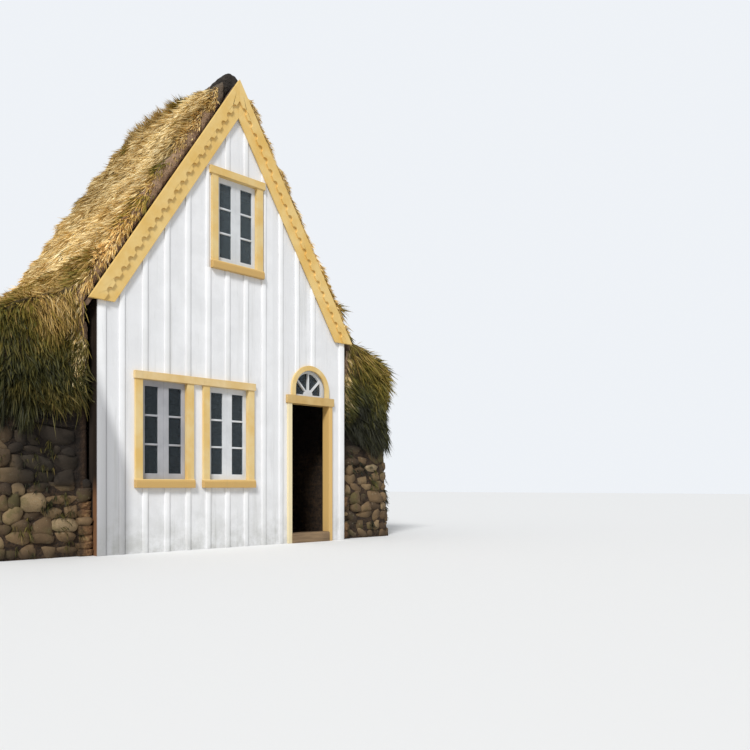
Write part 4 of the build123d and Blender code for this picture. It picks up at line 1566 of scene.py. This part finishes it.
@dataclass
class TurfRoof:
    """The turf of both slopes and of the rear ledge, the ridge sods and the dark block before them."""

    finishes: Finishes

    def softened(self, name: str, node: str, voxel: float, swell: float, lump: float,
                 wear: int, crumb: float = 0.02, trim: float = 0.0) -> Piece:
        """Models a worn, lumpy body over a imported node.

        Args:
            name: Name of the piece.
            node: The node that it stands for.
            voxel: Size of its faces.
            swell: How far the lumps rise.
            lump: Width of the lumps.
            wear: How far its edges are rounded.
            crumb: Depth of its small crumbs.
            trim: How much of its front end has crumbled away.

        Returns:
            The piece.
        """
        piece = bpy.data.objects.new(name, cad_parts[node].data.copy())
        bpy.context.collection.objects.link(piece)
        pick(piece)
        edit_all()
        bpy.ops.mesh.remove_doubles(threshold=0.0001)
        if trim:
            front = (0.0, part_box(node)[0].y + trim, 0.0)
            bpy.ops.mesh.bisect(plane_co=front, plane_no=(0.0, -1.0, 0.0), clear_outer=True, use_fill=True)
        bpy.ops.object.mode_set(mode="OBJECT")
        modify(piece, "REMESH", mode="VOXEL", voxel_size=voxel)
        modify(piece, "SMOOTH", factor=0.5, iterations=wear)
        dent(piece, "lumps", lump, swell)
        dent(piece, "crumbs", 0.05, crumb, 2)
        modify(piece, "DECIMATE", ratio=0.36)
        piece.data.materials.clear()
        settle(piece, name)
        bpy.ops.object.shade_smooth()
        return piece

    def build(self) -> dict[str, Piece]:
        """Builds the turf.

        Returns:
            The turf pieces by name, for the grass to grow on.
        """
        made = {name: self.softened(f"turf_body_{name}", f"turf_{name}", voxel=0.026, swell=0.04, lump=0.3,
                                    wear=14, crumb=0.03) for name in SIDES}
        made["rear"] = self.softened("turf_body_rear", "rear_turf", voxel=0.03, swell=0.03, lump=0.2, wear=2)
        made["ridge"] = self.softened("ridge_sods", "ridge_turf", voxel=0.03, swell=0.04, lump=0.2, wear=5)
        for piece, node in zip(made.values(), ("turf_left", "turf_right", "rear_turf", "ridge_turf")):
            hand_over(piece, self.finishes.felt, Slot.TURF, node)
        block = self.softened("ridge_end_block", "ridge_block", voxel=0.02, swell=0.03, lump=0.12, wear=34,
                              crumb=0.012, trim=0.1)
        hand_over(block, self.finishes.block, Slot.DARK_SOD, "ridge_block")
        return made


@dataclass(frozen=True)
class Growth:
    """How the grass of one zone grows.

    Lift, fall and stray are the shares of the way out, the way down and chance in a blade's
    direction; light and tint are means over the zone. Blades root sunk under the surface, less
    so in joints between the courses, and those on the roof keep between its ends.
    """

    count: int
    length: tuple[float, float]
    lift: float
    stray: float
    droop: float
    tint: float
    fall: float = 1.0
    width: float = 0.014
    light: float = 1.0
    sunk: float = 0.03
    on_roof: bool = False
    joints: float = 0.0


@dataclass
class Ground:
    """Triangles that grass can root on, or single places as triangles of no size."""

    corners: Array
    normals: Array
    weights: Array

    @classmethod
    def of_piece(cls, piece: Piece, weight: Callable[[Array, Array], Array]) -> "Ground":
        """Reads the faces of a piece.

        Args:
            piece: The piece.
            weight: Gives how thickly the grass stands, from the faces' middles and normals.

        Returns:
            The ground.
        """
        mesh = piece.data
        mesh.calc_loop_triangles()
        index = np.empty(len(mesh.loop_triangles) * 3, np.int32)
        mesh.loop_triangles.foreach_get("vertices", index)
        corners = points_of(mesh).astype(float)[index].reshape(-1, 3, 3)
        across = np.cross(corners[:, 1] - corners[:, 0], corners[:, 2] - corners[:, 0])
        normals = unit(across)
        area = np.linalg.norm(across, axis=1) / 2
        return cls(corners, normals, area * weight(corners.mean(axis=1), normals))

    @classmethod
    def of_wall(cls, line: WallLine, low: float, high: float, count: int, seed: int) -> "Ground":
        """Picks places in a band of the walls' faces.

        Args:
            line: The line of the walls.
            low: Lowest height.
            high: Highest height.
            count: How many places.
            seed: Picks the places.

        Returns:
            The ground, thick in patches.
        """
        rng = np.random.default_rng(seed)
        spots = [line.at(along, height) for along, height in zip(rng.uniform(0.0, line.length, count),
                                                                 rng.uniform(low, high, count))]
        points = np.array([spot + out * 0.03 for spot, out in spots])
        normals = np.array([out for _, out in spots])
        return cls(np.repeat(points[:, None, :], 3, axis=1), normals,
                   np.clip(4.0 * soft_noise(points, 0.3, 31) - 1.4, 0.03, 1.0))

    def rooted(self, rng: np.random.Generator, count: int) -> tuple[Array, Array]:
        """Picks roots by chance.

        Args:
            rng: Source of chance.
            count: How many roots.

        Returns:
            The roots, and the way out of the ground at each.
        """
        chosen = rng.choice(len(self.corners), count, p=self.weights / self.weights.sum())
        share = rng.uniform(size=(2, count, 1))
        share = np.where(share.sum(axis=0) > 1.0, 1.0 - share, share)
        first, second, third = (self.corners[chosen, index] for index in range(3))
        return first + share[0] * (second - first) + share[1] * (third - first), self.normals[chosen]


@dataclass
class GrassCoat:
    """Long dry grass over the turf, and greener grass that hangs down the walls."""

    house: House
    finishes: Finishes
    line: WallLine
    low: Vector
    high: Vector
    slope: Growth = Growth(66000, (0.12, 0.24), lift=0.26, stray=0.5, droop=0.06, tint=0.85, light=1.14,
                           sunk=0.034, on_roof=True, joints=0.05)
    verge: Growth = Growth(8000, (0.06, 0.15), lift=0.4, stray=0.8, droop=0.2, tint=0.74, width=0.012,
                           light=1.3, sunk=0.02, on_roof=True)
    hanging: Growth = Growth(60000, (0.09, 0.24), lift=0.45, stray=1.15, droop=0.3, tint=0.6, sunk=0.01)
    ridge: Growth = Growth(12000, (0.13, 0.25), lift=0.8, stray=0.7, droop=0.1, tint=0.76, fall=0.5,
                           width=0.012, on_roof=True)
    rear: Growth = Growth(16000, (0.14, 0.28), lift=0.3, stray=0.6, droop=0.35, tint=0.58)
    fringe: Growth = Growth(18000, (0.16, 0.36), lift=0.3, stray=0.6, droop=0.3, tint=0.5)
    tufts: Growth = Growth(6000, (0.05, 0.14), lift=0.6, stray=0.9, droop=0.3, tint=0.6, fall=0.7, width=0.01)
    jitter: float = 0.012
    bend: float = 0.5
    margin: float = 0.028
    seed: int = 23

    def headings(self, rng: np.random.Generator, root: Array, normal: Array, growth: Growth) -> Array:
        """Gives the blades their directions, in locks that lie the same way.

        Args:
            rng: Source of the chance part.
            root: The blades' roots.
            normal: The way out at each root.
            growth: How the blades grow.

        Returns:
            One direction a blade.
        """
        side = np.sign(root[:, :1])
        if growth.joints:
            steep = side * np.array([[math.sin(self.house.pitch), 0.0, 0.0]])
            steep[:, 2] = math.cos(self.house.pitch)
            normal = unit(normal + 0.7 * steep)
        down = side * np.array([[0.25, 0.0, 0.0]]) + np.array([0.0, 0.0, -1.0])
        down -= normal * (down * normal).sum(axis=1, keepdims=True)
        lock, sway = (np.stack([soft_noise(root, size, seed) for seed in seeds], axis=1) - 0.5
                      for size, seeds in ((0.09, (1, 2, 3)), (0.5, (4, 5, 6))))
        stray = rng.normal(0.0, 0.25, root.shape) + 0.9 * lock + 0.9 * sway
        return unit(growth.lift * normal + growth.fall * unit(down) + growth.stray * stray)

    def grown(self, name: str, ground: Ground, growth: Growth,
              tinted: Callable[[Array], tuple[Array, ...]]) -> None:
        """Grows one piece of grass, with two triangles a blade.

        Args:
            name: Name of the piece.
            ground: Where it roots.
            growth: How it grows.
            tinted: Gives the tint, the light and the length at each root.
        """
        count = growth.count
        rng = np.random.default_rng([self.seed, len(name), count])
        root, normal = ground.rooted(rng, count)
        root += rng.uniform(-self.jitter, self.jitter, (count, 3))
        heading = self.headings(rng, root, normal, growth)
        change, light, vigour = tinted(root)
        sunk = np.full((count, 1), growth.sunk)
        if growth.joints:
            over = self.house.over_boards(root)[:, None]
            sunk *= np.clip(1.0 - np.abs(np.percentile(over, 70) - over) / growth.joints, 0.0, 1.0)
        root -= sunk * normal
        length = rng.uniform(*growth.length, count) * (0.65 + 0.7 * soft_noise(root, 0.13, 7)) * vigour
        across = unit(np.cross(heading, rng.normal(0.0, 1.0, (count, 3))))
        half = (growth.width * rng.uniform(0.35, 0.65, count))[:, None] * across
        droop = np.array([0.0, 0.0, -growth.droop])
        middle = root + length[:, None] * (self.bend * heading + 0.2 * droop)
        tip = middle + length[:, None] * ((1.0 - self.bend) * heading + 0.5 * droop)
        points = np.stack([root, middle + half, middle - half, tip], axis=1)
        room = (self.high - self.low) * self.margin
        points = np.clip(points, np.array(self.low - room), np.array(self.high + room))
        points[:, :, 2] = np.maximum(points[:, :, 2], 0.004)
        if growth.on_roof:
            points[:, :, 1] = np.clip(points[:, :, 1], self.house.turf_front_y - 0.035,
                                      self.house.turf_rear_y + 0.02)
        tint = growth.tint + change + rng.normal(0.0, 0.09, count) + 0.2 * (soft_noise(root, 0.45, 9) - 0.5)
        light = growth.light * light * rng.uniform(0.78, 1.12, count)
        faces = (np.arange(count)[:, None] * 4 + np.array([0, 1, 2, 2, 1, 3])).reshape(-1, 3)
        values = {"tint": np.repeat(np.clip(tint, 0.0, 1.0), 4), "light": np.repeat(light, 4),
                  "along": np.tile([0.0, self.bend, self.bend, 1.0], count)}
        piece = array_mesh(name, points.reshape(-1, 3), faces, values, smooth=False)
        self.lay_out(piece, count)
        hand_over(piece, self.finishes.grass, Slot.TURF)

    @staticmethod
    def lay_out(piece: Piece, count: int) -> None:
        """Gives each blade its own cell of a UV map.

        Args:
            piece: The grass, with two triangles a blade.
            count: How many blades it has.
        """
        cells = math.ceil(math.sqrt(count))
        corner = np.array([(0.5, 0.1), (0.9, 0.5), (0.1, 0.5), (0.1, 0.5), (0.9, 0.5), (0.5, 0.9)])
        index = np.arange(count)
        cell = np.stack([index % cells, index // cells], axis=1)[:, None, :]
        piece.data.uv_layers.new(name="OFBake").data.foreach_set(
            "uv", ((cell + corner) / cells).astype(np.float32).ravel())

    def by_block(self, place: Array) -> Array:
        """Tells which places lie in the bare dark turf beside the ridge block.

        Args:
            place: Places, one a row.

        Returns:
            True where the turf is bare.
        """
        ragged = 0.14 * (soft_noise(place, 0.12, 91) - 0.5)
        return ((np.abs(place[:, 0]) + ragged < self.house.bare_x)
                & (place[:, 1] + ragged < self.house.turf_front_y + self.house.bare_length))

    def open_air(self, middle: Array, facing: Array) -> Array:
        """Thickens what faces the open: no undersides or inner faces, little on the slopes' cut ends.

        Args:
            middle: Middle of each face, one a row.
            facing: Normal of each face, one a row.

        Returns:
            How thickly each face is grown.
        """
        across = np.abs(middle[:, 0])
        inner_x = self.house.wall_inner_x
        inward = facing[:, 0] * np.sign(middle[:, 0]) < -0.2
        cut_end = (across < inner_x) & (np.abs(facing[:, 1]) > 0.7)
        corner = (across < inner_x + 0.16) & (facing[:, 1] < -0.5) & (middle[:, 2] > 2.55)
        weight = np.where((facing[:, 2] > -0.3) & ~inward & ~self.by_block(middle), 1.0, 0.0)
        return weight * np.where(corner, 0.12, 1.0) * np.where(cut_end, 0.16, 1.0)

    def on_slope(self, middle: Array, facing: Array) -> Array:
        """Thickens the steep slopes."""
        return self.open_air(middle, facing) * (np.abs(middle[:, 0]) < self.house.wall_inner_x + 0.2)

    def on_verge(self, middle: Array, facing: Array) -> Array:
        """Thickens the upper edge of the slopes' cut ends.

        Args:
            middle: Middle of each face, one a row.
            facing: Normal of each face, one a row.

        Returns:
            How thickly each face is grown.
        """
        ragged = 0.08 * soft_noise(middle, 0.16, 81)
        edge = (self.house.verge_gap(middle) < 0.07) & (self.house.over_boards(middle) > 0.06 + ragged)
        edge &= np.abs(middle[:, 0]) < self.house.wall_inner_x + 0.1
        return (edge & (facing[:, 2] > -0.3) & ~self.by_block(middle)).astype(float)

    def on_wall(self, middle: Array, facing: Array) -> Array:
        """Thickens clumps over the walls and down their faces.

        Args:
            middle: Middle of each face, one a row.
            facing: Normal of each face, one a row.

        Returns:
            How thickly each face is grown.
        """
        clump = np.clip(3.0 * soft_noise(middle, 0.2, 33) - 0.6, 0.3, 1.0)
        clump *= np.where(facing[:, 1] < -0.4, 1.5, 1.0)
        return self.open_air(middle, facing) * clump * (np.abs(middle[:, 0]) >= self.house.wall_inner_x - 0.1)

    def slope_tint(self, root: Array) -> tuple[Array, ...]:
        """Tints in streaks of gold down the slope, browner near the verges, green in patches.

        Args:
            root: The blades' roots, one a row.

        Returns:
            Change of tint, share of light and share of length at each root.
        """
        height = root[:, 2]
        verge = self.house.verge_gap(root)
        lengthwise = np.stack([root[:, 1], height * 0.1, root[:, 0] * 0.1], axis=1)
        streak = soft_noise(lengthwise, 0.06, 12) - 0.5
        broad = soft_noise(root, 0.8, 51) - 0.5
        patch = rising(soft_noise(root, 0.38, 44), 0.66, 0.125)
        near = rising(verge, 0.5, -0.5)
        edge = rising(verge, 0.12, -0.12)
        low = rising(height, 4.2, -1.2)
        change = 0.26 * streak + 0.2 * broad - 0.05 * near
        change -= 0.36 * patch * np.clip((height - 3.6) / 0.8, 0.15, 1.0)
        light = 1.0 + 0.14 * rising(height, 5.2, -0.8) - 0.12 * near * (0.3 + 0.7 * low)
        light += 0.3 * streak + 0.3 * broad
        rear = rising(self.house.turf_rear_y - root[:, 1], 0.4, -0.4) * rising(height, 4.9, -0.5)
        return change, light, (1.0 - 0.4 * low - 0.4 * edge * (1.0 - low)) * (1.0 - 0.45 * rear)

    def verge_tint(self, root: Array) -> tuple[Array, ...]:
        """Tints brown olive, in uneven tufts.

        Args:
            root: The blades' roots, one a row.

        Returns:
            Change of tint, share of light and share of length at each root.
        """
        change, light, _ = self.slope_tint(root)
        low = rising(root[:, 2], 4.8, -1.2)
        return change + 0.08 * low, light * (1.0 + 0.18 * low), 0.5 + 0.9 * soft_noise(root, 0.1, 83)

    def ridge_tint(self, root: Array) -> tuple[Array, ...]:
        """Tints as the slopes, with short grass behind the block and at the back.

        Args:
            root: The blades' roots, one a row.

        Returns:
            Change of tint, share of light and share of length at each root.
        """
        change, light, _ = self.slope_tint(root)
        before = np.clip((self.house.turf_rear_y - root[:, 1]) / 0.5, 0.3, 1.0)
        return change, light, rising(root[:, 1], -0.95, 0.6) * before

    def hanging_tint(self, root: Array) -> tuple[Array, ...]:
        """Tints golden olive over the walls, deeper green and darker down their faces.

        Args:
            root: The blades' roots, one a row.

        Returns:
            Change of tint, share of light and share of length at each root.
        """
        fallen = rising(root[:, 2], 2.95, -1.0)
        right = np.clip(root[:, 0] / 2.0, 0.0, 1.0)
        patch = np.clip(6.0 * (soft_noise(root, 0.3, 61) - 0.6), 0.0, 1.0)
        broad = soft_noise(root, 0.4, 62) - 0.5
        change = -0.34 * fallen - 0.14 * patch * fallen + 0.32 * broad - 0.17 * right
        light = 1.14 - 0.74 * fallen + 0.5 * fallen * right - 0.26 * right + 0.4 * broad
        return change, light, 1.0 + 0.8 * broad

    def build(self, turf: dict[str, Piece]) -> None:
        """Grows all the grass.

        Args:
            turf: The turf pieces by name.
        """
        zones = {"slope": (self.on_slope, self.slope, self.slope_tint),
                 "hanging": (self.on_wall, self.hanging, self.hanging_tint),
                 "verge": (self.on_verge, self.verge, self.verge_tint)}
        for side in SIDES:
            for zone, (thickened, growth, tinted) in zones.items():
                self.grown(f"{zone}_grass_{side}", Ground.of_piece(turf[side], thickened), growth, tinted)
        ridge = Ground.of_piece(turf["ridge"], lambda middle, facing: (facing[:, 2] > 0.0).astype(float))
        self.grown("ridge_grass", ridge, self.ridge, self.ridge_tint)
        rear = Ground.of_piece(turf["rear"],
                               lambda middle, facing: (facing[:, 1:] > -0.3).all(axis=1).astype(float))
        self.grown("rear_grass", rear, self.rear, self.hanging_tint)
        hang_z = self.house.hang_z
        fringe = Ground.of_wall(self.line, hang_z - 0.02, hang_z + 0.14, count=5000, seed=3)
        self.grown("fringe_grass", fringe, self.fringe, self.hanging_tint)
        tufts = Ground.of_wall(self.line, 0.08, hang_z - 0.1, count=4000, seed=4)
        tufts.weights = np.where(soft_noise(tufts.corners[:, 0], 0.22, 71) > 0.64, 1.0, 0.0)
        self.grown("wall_tufts", tufts, self.tufts, self.hanging_tint)


# Studio

@dataclass(frozen=True)
class Studio:
    """Camera, light, floor and backdrop.

    The camera stands level and low, left of the house. The colours are light.
    """

    eye: tuple[float, float, float] = (-5.557, -9.890, 0.797)
    turn: float = -44.494
    lens: float = 35.46
    rise: float = 0.1489
    sun_from: tuple[float, float, float] = (-0.8, -0.6, 0.8)
    sun_strength: float = 2.5
    sun_size: float = 14.0
    sky_strength: float = 0.58
    sky: Light = (0.95, 0.97, 1.0, 1.0)
    backdrop: Light = (0.86, 0.89, 0.93, 1.0)
    mirrored: Light = (0.2, 0.23, 0.28, 1.0)
    floor: Light = (0.84, 0.84, 0.83, 1.0)
    floor_bounce: Light = (0.62, 0.62, 0.6, 1.0)
    floor_size: float = 160.0

    def build(self) -> None:
        """Builds the studio."""
        scene = bpy.context.scene
        scene.view_settings.view_transform = "Standard"
        deselect()
        bpy.ops.object.camera_add(location=self.eye, rotation=(math.pi / 2, 0.0, math.radians(self.turn)))
        scene.camera = bpy.context.object
        camera = scene.camera.data
        camera.lens = self.lens
        camera.sensor_width = 36.0
        camera.shift_y = self.rise
        camera.clip_end = 400.0
        toward_sun = Vector(self.sun_from).to_track_quat("Z", "Y")
        bpy.ops.object.light_add(type="SUN", rotation=toward_sun.to_euler())
        sun = bpy.context.object.data
        sun.energy = self.sun_strength
        sun.angle = math.radians(self.sun_size)
        self.sky_world(scene)
        bpy.ops.mesh.primitive_plane_add(size=self.floor_size)
        floor = settle(bpy.context.object, "studio_floor")
        floor.data.materials.append(FloorFinish(self.floor, self.floor_bounce).material("studio_floor"))
        floor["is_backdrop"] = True

    def sky_world(self, scene: bpy.types.Scene) -> None:
        """Lights the scene all round, shows the camera a pale backdrop, and gloss a deeper sky.

        Args:
            scene: The scene.
        """
        scene.world = bpy.data.worlds.new("studio_sky")
        scene.world.use_nodes = True
        graph = Graph(scene.world.node_tree)
        light, seen, gloss = (graph.node("Background", {"Color": colour, "Strength": strength})
                              for colour, strength in ((self.sky, self.sky_strength), (self.backdrop, 1.0),
                                                       (self.mirrored, 1.0)))
        ray = graph.node("LightPath")
        direct = graph.math("MAXIMUM", ray["Is Camera Ray"], ray["Is Transmission Ray"])
        unseen = graph.node("MixShader", {0: ray["Is Glossy Ray"], 1: light, 2: gloss})
        graph.add("OutputWorld", {"Surface": graph.node("MixShader", {0: direct, 1: unseen, 2: seen})})


def write_sizes() -> None:
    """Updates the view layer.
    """
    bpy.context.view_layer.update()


def main() -> None:
    """Builds the studio and dresses the house, part by part."""
    logging.basicConfig(level=logging.INFO, format="%(message)s")
    low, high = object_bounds()
    house = House.measured()
    Studio().build()
    finishes = Finishes(Effects(), house, Boarding.module)
    Boarding(house, finishes).build()
    Joinery(finishes).build()
    line = WallLine(house)
    Walling(house, finishes, line).build()
    turf = TurfRoof(finishes).build()
    GrassCoat(house, finishes, line, low, high).build(turf)
    write_sizes()


if __name__ == "__main__":
    main()
